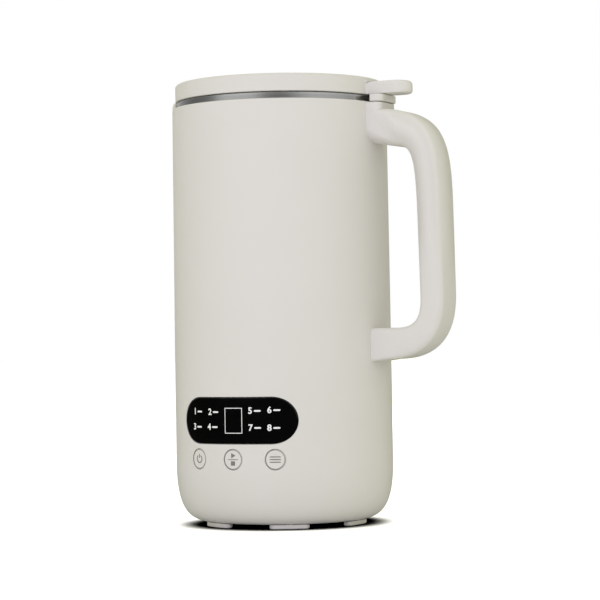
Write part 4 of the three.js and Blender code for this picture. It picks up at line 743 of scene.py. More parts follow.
def key_middle(side):
    """Where a key's middle is along X."""
    return sizes("body").radius * math.sin(side * sizes("panel").key_spread)


def key_outline(side, margin, steps=48):
    """A key's outline in X and Z, which looks narrower off centre because the wall turns away."""
    panel = sizes("panel")
    radius = panel.key_diameter / 2 + margin
    across = radius * math.cos(side * panel.key_spread)
    middle = key_middle(side)
    return [(middle + across * c, panel.key_height + radius * s) for c, s in circle(steps)]


def rod_along(radius, start, end, axis="Z", segments=24):
    """A plain rod along an axis, as a cutter or a stem."""
    place = {"X": lambda u, v, w: (w, u, v), "Y": lambda u, v, w: (u, w, v), "Z": lambda u, v, w: (u, v, w)}[axis]
    return loft("rod", [[place(radius * c, radius * s, w) for c, s in circle(segments)] for w in (start, end)])


def prism(outline, start, end, axis="Y"):
    """A cutter with the same outline all along an axis."""
    if axis == "Y":
        return loft("cut", [[(x, w, z) for x, z in outline] for w in (start, end)])
    return loft("cut", [[(x, y, w) for x, y in outline] for w in (start, end)])


def build_shell():
    body, panel, base, handle = (sizes(group) for group in ("body", "panel", "base", "handle"))
    inner = body.radius - body.wall
    ledge_low, ledge_top, ledge_inner = 2.7, 4.9, body.base_opening - 7
    seat, seat_radius = body.rim - 6, body.cup_radius + 3 * GAP
    rim, top = body.rim, wall_radius(body, body.rim)
    lip_low = rim - body.lip_height
    rise = [body.curve_height + (lip_low - body.curve_height) * k / 12 for k in range(1, 13)]
    lip_rows = [lip_low + (body.lip_height - 1) * k / 14 for k in range(1, 15)]
    profile = [(ledge_inner, ledge_low), (body.base_opening, ledge_low), *base_curve(body, 0, 28)]
    profile += [(wall_radius(body, z), z) for z in rise + lip_rows]
    outer_round, inner_round = 0.9, 0.7
    profile += arc(top - outer_round, rim - outer_round, outer_round, 10, 90, 5)
    profile += arc(inner + inner_round, rim - inner_round, inner_round, 90, 180, 4)
    profile += [(inner, rim - depth) for depth in (1.4, 2, 3, 4, 5, 6)]
    profile += [(seat_radius, seat), (seat_radius, seat - body.wall), (inner, seat - body.wall - inner + seat_radius)]
    profile += [(inner, 200), (inner, 120)]
    profile += [p for p in reversed(base_curve(body, body.wall, 20)) if p[1] > ledge_top]
    profile += [(ledge_inner, ledge_top)]
    shell = revolve("body_shell", profile, ROUND)
    warp(shell, lip_shift(body, body.lip_reach, body.lip_rise))
    # The pocket for the lens, the window, the keys, the inlet and the screw holes
    floor = body.radius - panel.thickness - GAP
    cutters = [wall_loft("cut", [(pill(GAP), floor), (pill(GAP), body.radius + 0.4)])]
    middle = panel.bottom + panel.height / 2
    window = [(x, z + middle) for x, z in rounded_box(panel.window_width / 2, panel.window_height / 2, 0.6, 3)]
    cutters.append(wall_loft("cut", [(window, inner - 3), (window, floor + 0.2)]))
    cutters += [prism(key_outline(side, GAP), -64, -47) for side in KEY_SIDES.values()]
    inlet = rounded_box(base.inlet_width / 2 + GAP, base.inlet_tall / 2 + GAP, 2.3, 6)
    cutters.append(shift(prism(inlet, 50, 63), z=base.inlet_height))
    cutters += [shift(rod_along(SCREW_HOLE, inner - 3, body.radius + 2, "X"), z=z) for z in screw_heights(handle)]
    cutters += [shift(rod_along(2, -2, 8), x, y) for x, y in around(base.feet, base.foot_ring)]
    cutters += [shift(rod_along(SCREW_HOLE, 1, 8), x, y) for x, y in around(BASE_SCREWS, base.screw_reach, 90)]
    boolean(shell, "DIFFERENCE", joined("cutters", cutters))
    sharpened(shell, 30)

    # The outside is a turned surface, so its normals are known exactly except in the lip
    def outside(point, normal):
        radius = math.hypot(point.x, point.y)
        turn = abs(math.atan2(point.y, -point.x)) / body.lip_angle
        in_lip = point.z > rim - body.lip_height - 0.1 and turn < 1
        on_wall = body.curve_height - 0.01 <= point.z <= rim - 0.95
        if in_lip or not on_wall or abs(radius - wall_radius(body, point.z)) >= 0.02:
            return None
        exact = Vector((point.x, point.y, 0)).normalized()
        return exact if exact.dot(normal) > 0.8 else None

    own_normals(shell, outside)
    return stands(shell, "housing", "cream", "outer_shell")


def build_cup():
    body = sizes("body")
    bore, step = 6.3, body.band_radius - body.cup_radius
    inside, band_inside = body.cup_radius - body.cup_wall, body.band_radius - body.cup_wall
    corner, bend = body.cup_radius - body.cup_corner, body.cup_floor + body.cup_corner
    flare, top = body.rim - 4, body.cup_top
    rows = [bend + 22 * k for k in range(1, 6)] + [body.rim - body.lip_height + k for k in range(3)]
    band = [body.rim - 2, body.rim, body.rim + 2]
    profile = [(bore, body.cup_floor)] + arc(corner, bend, body.cup_corner, -90, 0, 12)
    profile += [(body.cup_radius, z) for z in rows]
    profile += [(body.cup_radius, flare - step), (body.cup_radius + 0.5, flare - step + 0.2)]
    profile += [(body.band_radius - 0.4, flare - 0.4), (body.band_radius, flare + 0.3)]
    profile += [(body.band_radius, z) for z in band] + arc(body.band_radius - 0.4, top - 0.4, 0.4, 0, 180, 6)
    profile += [(band_inside, z) for z in [*reversed(band), flare]] + [(inside, flare - step)]
    profile += [(inside, z) for z in reversed(rows)]
    profile += arc(corner, bend, body.cup_corner - body.cup_wall, 0, -90, 12)
    profile += [(bore, body.cup_floor + body.cup_wall)]
    cup = warp(revolve("steel_cup", profile, ROUND), lip_shift(body, body.lip_reach - 2 * GAP, 0))
    return stands(cup, "housing", "brushed", "inner_cup", sharp=50)


# Handle


def cubic(start, first, second, end, steps):
    made = []
    for k in range(steps + 1):
        t = k / steps
        u = 1 - t
        made.append(tuple(
            u ** 3 * a + 3 * u * u * t * b + 3 * u * t * t * c + t ** 3 * d
            for a, b, c, d in zip(start, first, second, end)
        ))
    return made


def screw_heights(h):
    return h.upper_low + (h.upper_top - h.upper_low) / 3, (h.lower_top + h.lower_low) / 2


def straight(start, end, steps):
    return [tuple(a + (b - a) * k / steps for a, b in zip(start, end)) for k in range(steps)]


def d_row(start, reach, lean, heights, top, bottom):
    """Points of one edge of the D from the upper root to the lower root, its two corners as cubic curves.

    Each corner is given by its run, its rise, and the shares of them that the curve's two handles reach.
    """
    top_root, top_end, low_end, low_root = heights
    run, rise, across, down = top
    low_run, low_rise, low_across, low_down = bottom
    grip_top, grip_low = top_end - rise, low_end + low_rise
    bent = lean / (grip_top - grip_low) * rise * down
    row = straight((start, top_root), (reach - run, top_end), 6)
    row += cubic((reach - run, top_end), (reach - run * (1 - across), top_end),
                 (reach - lean - bent, grip_top + rise * down), (reach - lean, grip_top), 26)
    row += straight((reach - lean, grip_top), (reach, grip_low), 10)[1:]
    row += cubic((reach, grip_low), (reach, grip_low - low_rise * low_down),
                 (reach - low_run * (1 - low_across), low_end), (reach - low_run, low_end), 20)
    return row + straight((start, low_root), (reach - low_run, low_end), 6)[::-1]


def handle_rows():
    """The outer and inner edge of the D, point by point across from each other."""
    body, h = sizes("body"), sizes("handle")
    start = body.radius - body.wall
    outer_corners = (43, 56.8, 0.93, 0.66), (33.5, 34.5, 0.34, 0.92)
    inner_corners = (13.7, 45.7, 0.82, 0.8), (LOWER_RUN, 15.4, 0.6, 0.85)
    outer = d_row(start, h.reach, h.lean, (h.upper_top, h.upper_top, h.lower_low + h.lower_slope, h.lower_low),
                  *outer_corners)
    inner = d_row(start, h.reach - h.grip, h.lean,
                  (h.upper_low, h.upper_low - h.upper_slope, h.lower_top, h.lower_top), *inner_corners)
    return outer, inner


def handle_edges(x, z):
    """The rounding of the outer and the inner edges where the inner edge of the D passes through x and z."""
    body, h = sizes("body"), sizes("handle")
    near, half_way_up = h.reach - h.grip, 150
    if z > half_way_up:
        share = min(max((near - h.lean - x) / (near - body.radius), 0), 1)
        return h.outer_edge, h.inner_edge + (h.root_edge - h.inner_edge) * share
    share = min(max((near - x) / LOWER_RUN, 0), 1)
    return (h.outer_edge + (h.lower_outer_edge - h.outer_edge) * share,
            h.inner_edge + (h.lower_inner_edge - h.inner_edge) * share)


def band_loft(name, outer, inner, half_width, edges, steps=6):
    """Skins rounded rectangles that stand across a band between two rows of points."""
    loops = []
    for far, near in zip(outer, inner):
        outer_radius, inner_radius = edges(*near)
        far, near = Vector(far), Vector(near)
        depth = (far - near).length
        across, middle, half = (far - near) / depth, (far + near) / 2, depth / 2
        corners = [(half, half_width, outer_radius), (-half, half_width, inner_radius),
                   (-half, -half_width, inner_radius), (half, -half_width, outer_radius)]
        flat = rounded(corners, steps)
        flat = [(half, 0)] + flat[: 2 * steps + 2] + [(-half, 0)] + flat[2 * steps + 2 :]
        loops.append([(middle.x + across.x * u, v, middle.y + across.y * u) for u, v in flat])
    return loft(name, loops)


def trimmed(rows, start_x, top_z):
    """The parts of two rows beyond a distance from the body axis and below a height of the second row."""
    made = []
    points = list(zip(*rows))
    for k, (far, near) in enumerate(points):
        inside = min(far[0], near[0]) >= start_x and near[1] <= top_z
        if inside and not made and k:
            before = points[k - 1]
            share = (before[1][1] - top_z) / (before[1][1] - near[1])
            made.append([tuple(a + (b - a) * share for a, b in zip(*ends)) for ends in zip(before, (far, near))])
        if inside:
            made.append([far, near])
    return [p[0] for p in made], [p[1] for p in made]


def offset_row(row, distance):
    made = []
    for k, point in enumerate(row):
        before, after = Vector(row[max(k - 1, 0)]), Vector(row[min(k + 1, len(row) - 1)])
        along = (after - before).normalized()
        made.append((point[0] - along.y * distance, point[1] + along.x * distance))
    return made


def build_handle():
    body, h = sizes("body"), sizes("handle")
    outer, inner = handle_rows()
    half = h.width / 2
    grip = band_loft("handle_moulding", outer, inner, half, handle_edges)
    flat = tongue(body.radius - 2, h.boss_face, half, h.boss_edge)
    boolean(grip, "UNION", pressed("boss", flat, h.upper_top - 5, h.boss_top, 0.6, 0.1))
    near, far = low(SOCKET, 0), high(SOCKET, 0)
    pocket = rounded_box((far - near) / 2 + GAP, high(SOCKET, 1) + GAP, 0.5, 3)
    pocket = shift(pressed("pocket", pocket, low(SOCKET, 2) - GAP, h.boss_top + 3, 0.1), (near + far) / 2)
    rows = trimmed((offset_row(inner, h.cover_wall + 0.6), offset_row(inner, -2)), body.radius + 4.2,
                   h.strip_top + GAP)
    recess = band_loft("recess", *rows, half - h.cover_wall, lambda x, z: (0.4, 0.4), 2)
    wall = [(wall_radius(body, z) + GAP / 6, z) for z in (60, body.draft_low, body.rim, 240)]
    core = revolve("core", [(AXIS, 60), *wall, (AXIS, 240)], ROUND)
    holes = [shift(rod_along(SCREW_HOLE, body.radius - 1, body.radius + 4, "X"), z=z) for z in screw_heights(h)]
    boolean(grip, "DIFFERENCE", pocket, recess, core, *holes)
    sharpened(grip, 34)
    evened(grip)
    sections = []
    for k, (far, near) in enumerate(zip(outer, inner)):
        before, after = max(k - 1, 0), min(k + 1, len(outer) - 1)
        along = Vector(outer[after]) + Vector(inner[after]) - Vector(outer[before]) - Vector(inner[before])
        out = Vector((-along.y, along.x)).normalized()
        across = Vector(far) - Vector(near)
        sections.append((Vector(near), across, out if out.dot(across) > 0 else -out))

    def crowned(point, normal):
        """The normal of a crowned section: the moulded grip is soft at its top and shows an edge lower down."""
        # It starts beside the boss, and grows from a fifth at the lower arm to nine tenths at the top
        beside_boss, above_lower_arm = (point.x - h.boss_face - 2) / 8, (point.z - 118) / 45
        share = smooth_step(beside_boss) * (0.2 + 0.7 * smooth_step(above_lower_arm))
        if share <= 0:
            return None
        flat = Vector((point.x, point.z))
        found = None
        for near, across, out in sections:
            place = (flat - near).dot(across) / across.length_squared
            gap = (near + across * min(max(place, 0), 1) - flat).length
            if found is None or gap < found[0]:
                found = (gap, 2 * place - 1, out)
        gap, u, out = found
        v = point.y / half
        # Only the outside of the grip counts, not its cuts
        if gap > 0.5 or max(abs(u), abs(v)) < 0.95:
            return None
        round_normal = Vector((out.x * u, v * (1 - 0.5 * abs(u) ** 3), out.y * u)).normalized()
        return normal.lerp(round_normal, share).normalized() if normal.dot(round_normal) > 0.45 else None

    own_normals(grip, crowned)
    return stands(grip, "housing", "cream", "handle")


def build_handle_cover():
    body, h = sizes("body"), sizes("handle")
    inner = handle_rows()[1]
    rows = trimmed((offset_row(inner, h.cover_wall - 0.15), offset_row(inner, 0.05)), body.radius + 4.5, h.strip_top)
    cover = band_loft("handle_strip", *rows, h.width / 2 - h.cover_wall - GAP, lambda x, z: (0.5, 0.5), 3)
    return stands(cover, "housing", "cream", "handle_cover", sharp=34, even=True)


# Lid


def lid_outline(lid, circle_steps=150, tab_steps=20):
    """Matching points of the lid's plan with its tab, of the plain circle, and how far each belongs to the tab."""
    half = lid.tab_width / 2
    blend = 2.2
    meet = math.asin((half + blend) / (lid.radius + blend))
    # The tab from its lower side round the end to its upper side, in steps of even length
    corner = ((lid.radius + blend) * math.cos(meet), half + blend)
    end = lid.tab_reach - half
    tab = []
    for k in range(9):
        a = -math.pi / 2 - (math.pi / 2 - meet) * (1 - k / 8)
        tab.append((corner[0] + blend * math.cos(a), corner[1] + blend * math.sin(a), k / 8))
    tab += [(corner[0] + (end - corner[0]) * k / 8, half, 1.0) for k in range(1, 8)]
    tab += [(end + half * math.cos(a), half * math.sin(a), 1.0)
            for a in (math.pi / 2 * (1 - k / tab_steps) for k in range(tab_steps + 1))]
    side = [(x, -y, w) for x, y, w in tab] + [(x, y, w) for x, y, w in reversed(tab[:-1])]
    touch = math.atan2(tab[0][1], tab[0][0])
    turns = [-touch + 2 * touch * k / (len(side) - 1) for k in range(len(side))]
    turns += [touch + (2 * math.pi - 2 * touch) * k / circle_steps for k in range(1, circle_steps)]
    plain = [(math.cos(a), math.sin(a)) for a in turns]
    outline = [p[:2] for p in side] + [(lid.radius * c, lid.radius * s) for c, s in plain[len(side) :]]
    return outline, plain, [smooth_step(p[2]) for p in side] + [0.0] * (circle_steps - 1)


def build_lid():
    lid = sizes("lid")
    outline, plain, share = lid_outline(lid)
    full = inset(outline, 1.0)
    inside, under_cap = lid.radius - lid.wall, lid.top - lid.wall
    nose = [1 + 1.7 * smooth_step((x - lid.tab_reach + 6) / 6) for x, _ in outline]

    def ring(radius, z):
        return [(radius * x, radius * y, z) for x, y in plain]

    def level(edge, turned, left, z_tab, edge_round, z_round):
        """One loop: the tab's edge rolls by its own rounding, larger at its nose, and the round part has another."""
        made = []
        for (x, y), flat, moved, own, w in zip(plain, outline, full, nose, share):
            r = lid.radius - edge_round
            flat = Vector(flat).lerp(Vector(moved), abs(edge) * own * turned)
            made.append(tuple(Vector((x * r, y * r, z_round)).lerp(Vector((*flat, z_tab - edge * own * left)), w)))
        return made

    bottom, tab_top, foot = lid.bottom, lid.tab_top, 0.5
    loops = [ring(AXIS, under_cap), ring(inside - 1.2, under_cap)]
    loops += [ring(inside, under_cap - 1.2), ring(inside, bottom)]
    under, upper, steps = 0.6, 0.9, 6
    for turned, left in reversed(roll(steps)):
        loops.append(level(-under, turned, left, bottom, foot * turned, bottom + foot * left))
    wall = bottom + 1.2
    for k, (turned, left) in enumerate(roll(steps)):
        loops.append(level(upper, turned, left, tab_top, 0, wall + (tab_top - upper - wall) * k / steps))
    # From the tab's flat top to the lid's wall, then up it
    blend, rise = 1.5, 1.4
    for k, (turned, left) in enumerate(roll(4)):
        z_tab, z_round = tab_top + rise * turned, tab_top - upper + (upper + rise) * (k + 1) / 5.5
        loops.append([(x * (lid.radius + blend * left * w), y * (lid.radius + blend * left * w),
                       z_round + (z_tab - z_round) * w) for (x, y), w in zip(plain, share)])
    for turned, left in roll(8):
        loops.append(ring(lid.radius - lid.edge * turned, max(lid.top - lid.edge * left, tab_top + 1.5)))
    loops += [ring(radius, lid.top) for radius in (lid.radius - 8, lid.radius * 0.5, AXIS)]
    return stands(loft("lid_moulding", loops), "lid", "cream", "lid_shell", sharp=75)


def build_coupler():
    body, h, lid = sizes("body"), sizes("handle"), sizes("lid")
    bottom, top = h.boss_top + GAP, lid.bottom - GAP
    flat = tongue(body.radius + 2 * GAP, high("coupler_block", 0), h.width / 2, lid.coupler_edge)
    made = pressed("coupler_moulding", flat, bottom, top, 0.35, 0.5)
    holes = [shift(rod_along(1.1, bottom - 1, top - 0.8, segments=20), *place) for place in contact_places().values()]
    boolean(made, "DIFFERENCE", *holes)
    return stands(made, "lid", "cream", "coupler_block", sharp=40, even=True)


def contact_places():
    """Where the two contact pins stand between the body and the end of the boss."""
    middle = (sizes("body").radius + sizes("handle").boss_face) / 2
    return {"front": (middle, -CONTACT_REACH), "back": (middle, CONTACT_REACH)}


# Panel and keys


def edge_levels(outline, face, radius):
    """The rounded edge of a piece in the wall, up to its face."""
    return [(inset(outline, radius * turned), face - radius * left) for turned, left in roll(4)[1:]]


def build_lens():
    body, panel = sizes("body"), sizes("panel")
    back, face, edge = body.radius - panel.thickness, body.radius - LENS_SINK, 0.45
    outline = pill(0)
    levels = [(inset(outline, 0.2), back), (outline, back + 0.15), (outline, face - edge)]
    lens = sharpened(wall_loft("panel_lens_gloss", levels + edge_levels(outline, face, edge)), 40)

    def exact(point, normal):
        radial = Vector((point.x, point.y, 0)).normalized()
        on_face = abs(math.hypot(point.x, point.y) - face) < 0.002
        return radial if on_face and radial.dot(normal) > 0.95 else None

    own_normals(lens, exact)
    return stands(lens, "housing", "black", "panel_lens")


def text_mesh(text, size):
    """Plain numerals as a flat mesh, centred on the origin, in millimetres."""
    curve = bpy.data.curves.new("numeral", "FONT")
    curve.body = text
    curve.size = size
    curve.align_x, curve.align_y = "CENTER", "CENTER"
    curve.offset = 0.028 * size
    curve.resolution_u = 4
    holder = linked("numeral", curve)
    mesh = bpy.data.meshes.new_from_object(holder.evaluated_get(bpy.context.evaluated_depsgraph_get()))
    bpy.data.objects.remove(holder)
    bpy.data.curves.remove(curve)
    return mesh


def wall_print(name, shapes, inner_radius, outer_radius):
    """Flat closed shapes, each a list of polygons in X and Z, raised a little on a round wall."""
    mesh = bpy.data.meshes.new(name)
    with edited(mesh) as work:
        for points, polygons in shapes:
            verts = [work.verts.new((x * MM, 0, z * MM)) for x, z in points]
            for polygon in polygons:
                work.faces.new([verts[k] for k in polygon])
        bmesh.ops.recalc_face_normals(work, faces=work.faces)
        made = bmesh.ops.extrude_face_region(work, geom=list(work.faces))
        raised = {v for v in made["geom"] if isinstance(v, bmesh.types.BMVert)}
        for vertex in work.verts:
            radius = (outer_radius if vertex in raised else inner_radius) * MM
            vertex.co.y = -math.sqrt(radius ** 2 - vertex.co.x ** 2)
        bmesh.ops.recalc_face_normals(work, faces=work.faces)
    return linked(name, mesh)


def strip(x0, x1, z0, z1, rounded_ends=True, steps=8):
    """A bar in X and Z, cut into upright slices so that it can follow the round wall."""
    middle_z, half = (z0 + z1) / 2, (z1 - z0) / 2
    points = []
    for k in range(steps + 1):
        x = x0 + (x1 - x0) * k / steps
        shrink = 0.35 * half if k in (0, steps) and rounded_ends else 0
        points += [(x, middle_z - half + shrink), (x, middle_z + half - shrink)]
    return points, [(k, k + 2, k + 3, k + 1) for k in range(0, 2 * steps, 2)]


def wall_x(arc_length):
    radius = sizes("body").radius
    return radius * math.sin(arc_length / radius)


def numeral(text, arc_middle, z, size):
    mesh = text_mesh(text, size)
    points = [(wall_x(arc_middle + v.co.x), z + v.co.y) for v in mesh.vertices]
    polygons = [tuple(p.vertices) for p in mesh.polygons]
    bpy.data.meshes.remove(mesh)
    return points, polygons


# Middles of the eight programme marks as arc length and height, in millimetres
MARKS = [(-24.4, 61.2), (-12.4, 61.0), (-24.8, 53.0), (-13.0, 53.0),
         (12.6, 61.6), (23.1, 61.9), (12.7, 52.6), (23.0, 52.5)]


def build_marks():
    body, panel = sizes("body"), sizes("panel")
    face = body.radius - LENS_SINK
    shapes = []
    for k, (s, z) in enumerate(MARKS):
        shapes.append(numeral(str(k + 1), s - 2.2, z, 4.7))
        shapes.append(strip(wall_x(s - 0.1), wall_x(s + 3.6), z - 0.45, z + 0.45))
    # The line round the display
    middle = panel.bottom + panel.height / 2
    half_w, half_h, line, shifted = panel.border_width / 2, panel.border_height / 2, 0.36, 0.6
    for side in (-1, 1):
        edge = middle + side * (half_h - line / 2)
        shapes.append(strip(shifted - half_w, shifted + half_w, edge - line / 2, edge + line / 2, False))
        edge = shifted + side * (half_w - line / 2)
        ends = middle - half_h + line, middle + half_h - line
        shapes.append(strip(edge - line / 2, edge + line / 2, *ends, False, 1))
    return stands(wall_print("panel_marks", shapes, face - 0.02, face + 0.04), "housing", "print_white")


def ring_shape(middle_x, middle_z, radius, width, start, end, narrow, steps=28):
    """Part of a ring in X and Z, as a strip of four-sided pieces."""
    points = []
    for k in range(steps + 1):
        a = math.radians(start + (end - start) * k / steps)
        for r in (radius - width / 2, radius + width / 2):
            points.append((middle_x + r * math.cos(a) * narrow, middle_z + r * math.sin(a)))
    return points, [(k, k + 1, k + 3, k + 2) for k in range(0, 2 * steps, 2)]


def legend_shapes(name, x, z, narrow):
    """A generic sign for each key: on and off, start and stop, and the lines of a menu."""
    if name == "left":
        return [ring_shape(x, z, 2.0, 0.5, 125, 415, narrow),
                strip(x - 0.25 * narrow, x + 0.25 * narrow, z + 0.6, z + 2.6, False, 1)]
    if name == "center":
        triangle = ([(x - 1.0, z + 0.75), (x - 1.0, z + 3.5), (x + 1.5, z + 2.12)], [(0, 1, 2)])
        return [triangle, strip(x - 3.2, x + 3.2, z - 0.17, z + 0.17),
                strip(x - 1.2, x + 1.2, z - 3.2, z - 0.9, False, 2)]
    return [strip(x - 3.0 * narrow, x + 3.0 * narrow, z + h - 0.25, z + h + 0.25) for h in (1.4, 0, -1.4)]


def build_key(side, name):
    body, panel = sizes("body"), sizes("panel")
    face, edge = body.radius - 0.08, 0.25
    outline, flange = key_outline(side, 0), key_outline(side, 1 + GAP)
    flange_face = body.radius - body.wall - 2 * GAP
    x, z, narrow = key_middle(side), panel.key_height, math.cos(side * panel.key_spread)
    levels = [(flange, flange_face - 1), (flange, flange_face), (outline, flange_face), (outline, face - edge)]
    levels += edge_levels(outline, face, edge)
    # A shallow finger dish
    for share, drop in ((0.75, 0.05), (0.5, 0.12), (0.2, 0.16)):
        levels.append(([(x + (u - x) * share, z + (v - z) * share) for u, v in outline], face - drop))
    cap = wall_loft(f"key_{name}_cap", levels)
    stem_end = -max(v.co.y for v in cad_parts[f"key_{name}"].data.vertices) / MM
    stem = rod_along(1.6, -flange_face * narrow + 0.6, -stem_end, "Y")
    boolean(cap, "UNION", shift(stem, x, 0, z))
    stands(cap, f"key_{name}", "cream", f"key_{name}", sharp=40)

    # The legend follows the dish, which its lower side reaches into, and a printed line runs round the key's edge
    legend = wall_print("legend", legend_shapes(name, x, z, narrow), face - 0.3, face - 0.02)
    points = key_outline(side, -0.18) + key_outline(side, -0.5)
    count = len(points) // 2
    polygons = [(k, (k + 1) % count, count + (k + 1) % count, count + k) for k in range(count)]
    line = wall_print("line", [(points, polygons)], face - 0.3, face + 0.015)
    stands(joined(f"key_{name}_legend", [legend, line]), f"key_{name}", "print_grey")


# Base


def instanced(name, piece, count, radius, turn, material):
    """Copies of a piece on a circle, made with geometry nodes and baked to a plain mesh."""
    values = {"Piece": piece, "Count": count, "Radius": radius * MM, "Turn": turn, "Material": material}
    kinds = {"Piece": "Object", "Count": "Int", "Radius": "Float", "Turn": "Float", "Material": "Material"}
    tree = bpy.data.node_groups.new(name, "GeometryNodeTree")
    for label, kind in {"Geometry": "Geometry", **kinds}.items():
        tree.interface.new_socket(label, in_out="INPUT", socket_type=f"NodeSocket{kind}")
    tree.interface.new_socket("Geometry", in_out="OUTPUT", socket_type="NodeSocketGeometry")
    given = add_node(tree, "NodeGroupInput").outputs
    info = add_node(tree, "GeometryNodeObjectInfo", {"Object": given["Piece"]})
    points = add_node(tree, "GeometryNodePoints", {"Count": given["Count"]})
    index = add_node(tree, "GeometryNodeInputIndex")
    share = add_node(tree, "ShaderNodeMath", {0: index.outputs[0], 1: given["Count"]}, operation="DIVIDE")
    angle_inputs = {0: share.outputs[0], 1: 2 * math.pi, 2: given["Turn"]}
    around_z = add_node(tree, "ShaderNodeMath", angle_inputs, operation="MULTIPLY_ADD").outputs[0]
    spin = add_node(tree, "ShaderNodeCombineXYZ", {"Z": around_z})
    cosine = add_node(tree, "ShaderNodeMath", {0: around_z}, operation="COSINE")
    sine = add_node(tree, "ShaderNodeMath", {0: around_z}, operation="SINE")
    direction = add_node(tree, "ShaderNodeCombineXYZ", {"X": cosine.outputs[0], "Y": sine.outputs[0]})
    place = add_node(
        tree, "ShaderNodeVectorMath", {0: direction.outputs[0], "Scale": given["Radius"]}, operation="SCALE"
    )
    apart = add_node(
        tree, "GeometryNodeSetPosition", {"Geometry": points.outputs[0], "Position": place.outputs["Vector"]}
    )
    copies = add_node(
        tree, "GeometryNodeInstanceOnPoints",
        {"Points": apart.outputs[0], "Instance": info.outputs["Geometry"], "Rotation": spin.outputs[0]},
    )
    real = add_node(tree, "GeometryNodeRealizeInstances", {"Geometry": copies.outputs[0]})
    painted = add_node(
        tree, "GeometryNodeSetMaterial", {"Geometry": real.outputs[0], "Material": given["Material"]}
    )
    add_node(tree, "NodeGroupOutput", {"Geometry": painted.outputs[0]})
    holder = linked(name, bpy.data.meshes.new(name))
    modifier = holder.modifiers.new("copies", "NODES")
    modifier.node_group = tree
    for item in tree.interface.items_tree:
        if item.in_out == "INPUT" and item.name in values:
            modifier[item.identifier] = values[item.name]
    baked(holder)
    discarded(piece)
    bpy.data.node_groups.remove(tree)
    return holder


def build_feet():
    body, base = sizes("body"), sizes("base")
    inner, outer = base.foot_ring - base.foot_depth / 2, base.foot_ring + base.foot_depth / 2
    half, steps, corner = base.foot_half_angle, 14, 2.4
    outline = []
    for radius, other, turn in ((outer, inner, 1), (inner, outer, -1)):
        trim = corner / radius
        edge = [(radius, turn * (-half + trim + (2 * half - 2 * trim) * k / steps)) for k in range(steps + 1)]
        edge += [(radius - turn * corner * share, turn * (half - trim * (1 - share) ** 1.6))
                 for share in (0.3, 0.7, 1.0)]
        edge += [(other + turn * corner * share, turn * (half - corner / other * (1 - share) ** 1.6))
                 for share in (0.7, 0.3)]
        outline += [(r * math.cos(a), r * math.sin(a)) for r, a in edge]
    foot = pressed("foot", outline, -base.foot_drop, 4.5, 0.1, 0.9, 6)
    under = [(AXIS, -GAP), *base_curve(body, -GAP, 28), (AXIS, body.curve_height)]
    boolean(foot, "DIFFERENCE", revolve("under", under, ROUND))
    boolean(foot, "UNION", shift(rod_along(SCREW_HOLE, -1, 4.9), base.foot_ring))
    evened(sharpened(shift(foot, -base.foot_ring), 36))
    feet = instanced("feet_set", foot, base.feet, base.foot_ring, 0.0, finish("cream"))
    return stands(feet, "housing", "cream", *[f"foot_{k + 1}" for k in range(base.feet)])


def vent_outline(inner, outer, start, end, steps=10, end_steps=6):
    """A slot bent round the axis between two turns in radians, with round ends."""
    middle, half = (inner + outer) / 2, (outer - inner) / 2

    def end_cap(turn, first):
        turns = [first + math.pi * i / end_steps for i in range(1, end_steps)]
        return [(middle * math.cos(turn) + half * math.cos(b), middle * math.sin(turn) + half * math.sin(b))
                for b in turns]

    there = [start + (end - start) * i / steps for i in range(steps + 1)]
    back = [end + (start - end) * i / steps for i in range(steps + 1)]
    outline = [(outer * math.cos(a), outer * math.sin(a)) for a in there] + end_cap(end, end)
    return outline + [(inner * math.cos(a), inner * math.sin(a)) for a in back] + end_cap(start, start + math.pi)


def build_base_cover():
    body, base = sizes("body"), sizes("base")
    radius = body.base_opening - GAP
    t = base.cover_thickness
    profile = [(AXIS, 0), (radius - 0.5, 0)] + arc(radius - 0.5, 0.5, 0.5, -60, 0, 4) + [(radius, t), (AXIS, t)]
    cover = revolve("base_plate", profile, 128)
    cutters, vents, rib = [], 6, 6.4
    for inner, outer in ((14.0, 16.4), (20.4, 22.8)):
        spare = math.asin((rib / 2 + (outer - inner) / 2) / ((inner + outer) / 2))
        for k in range(vents):
            start, end = math.radians(60 * k - 30) + spare, math.radians(60 * k + 30) - spare
            cutters.append(prism(vent_outline(inner, outer, start, end), -1, t + 1, "Z"))
    places = around(BASE_SCREWS, base.screw_reach, 90)
    cutters += [shift(rod_along(SCREW_HOLE, -1, t + 1), x, y) for x, y in places]
    seats = [shift(rod_along(base.screw_head + GAP, -1, 1.9, segments=32), x, y) for x, y in places]
    boolean(cover, "DIFFERENCE", joined("cutters", cutters), joined("seats", seats))
    return stands(cover, "housing", "cream", "base_cover", sharp=34, even=True)


def build_base_screws():
    base = sizes("base")
    bottom, top, head, shank = GAP, 6.3, base.screw_head, 1.4
    profile = [(AXIS, bottom), (head - 1.0, bottom)] + arc(head - 1.0, bottom + 1.0, 1.0, -90, 0, 6)
    profile += [(head, bottom + 1.3), (shank, bottom + 1.3), (shank, top - 0.6), (0.8, top), (AXIS, top)]
    screw = revolve("screw", profile, 48)
    for turn in (0, math.pi / 2):
        blade = pressed("slot", rounded_box(1.55, 0.3, 0.12, 2), bottom - 1, bottom + 0.8, 0.05)
        boolean(screw, "DIFFERENCE", shift(blade, turn=Matrix.Rotation(turn, 4, "Z")))
    evened(sharpened(screw, 40))
    screws = instanced("base_screws", screw, BASE_SCREWS, base.screw_reach, math.pi / 2, finish("steel"))
    return stands(screws, "housing", "steel", "base_screw_1", "base_screw_2", "base_screw_3")


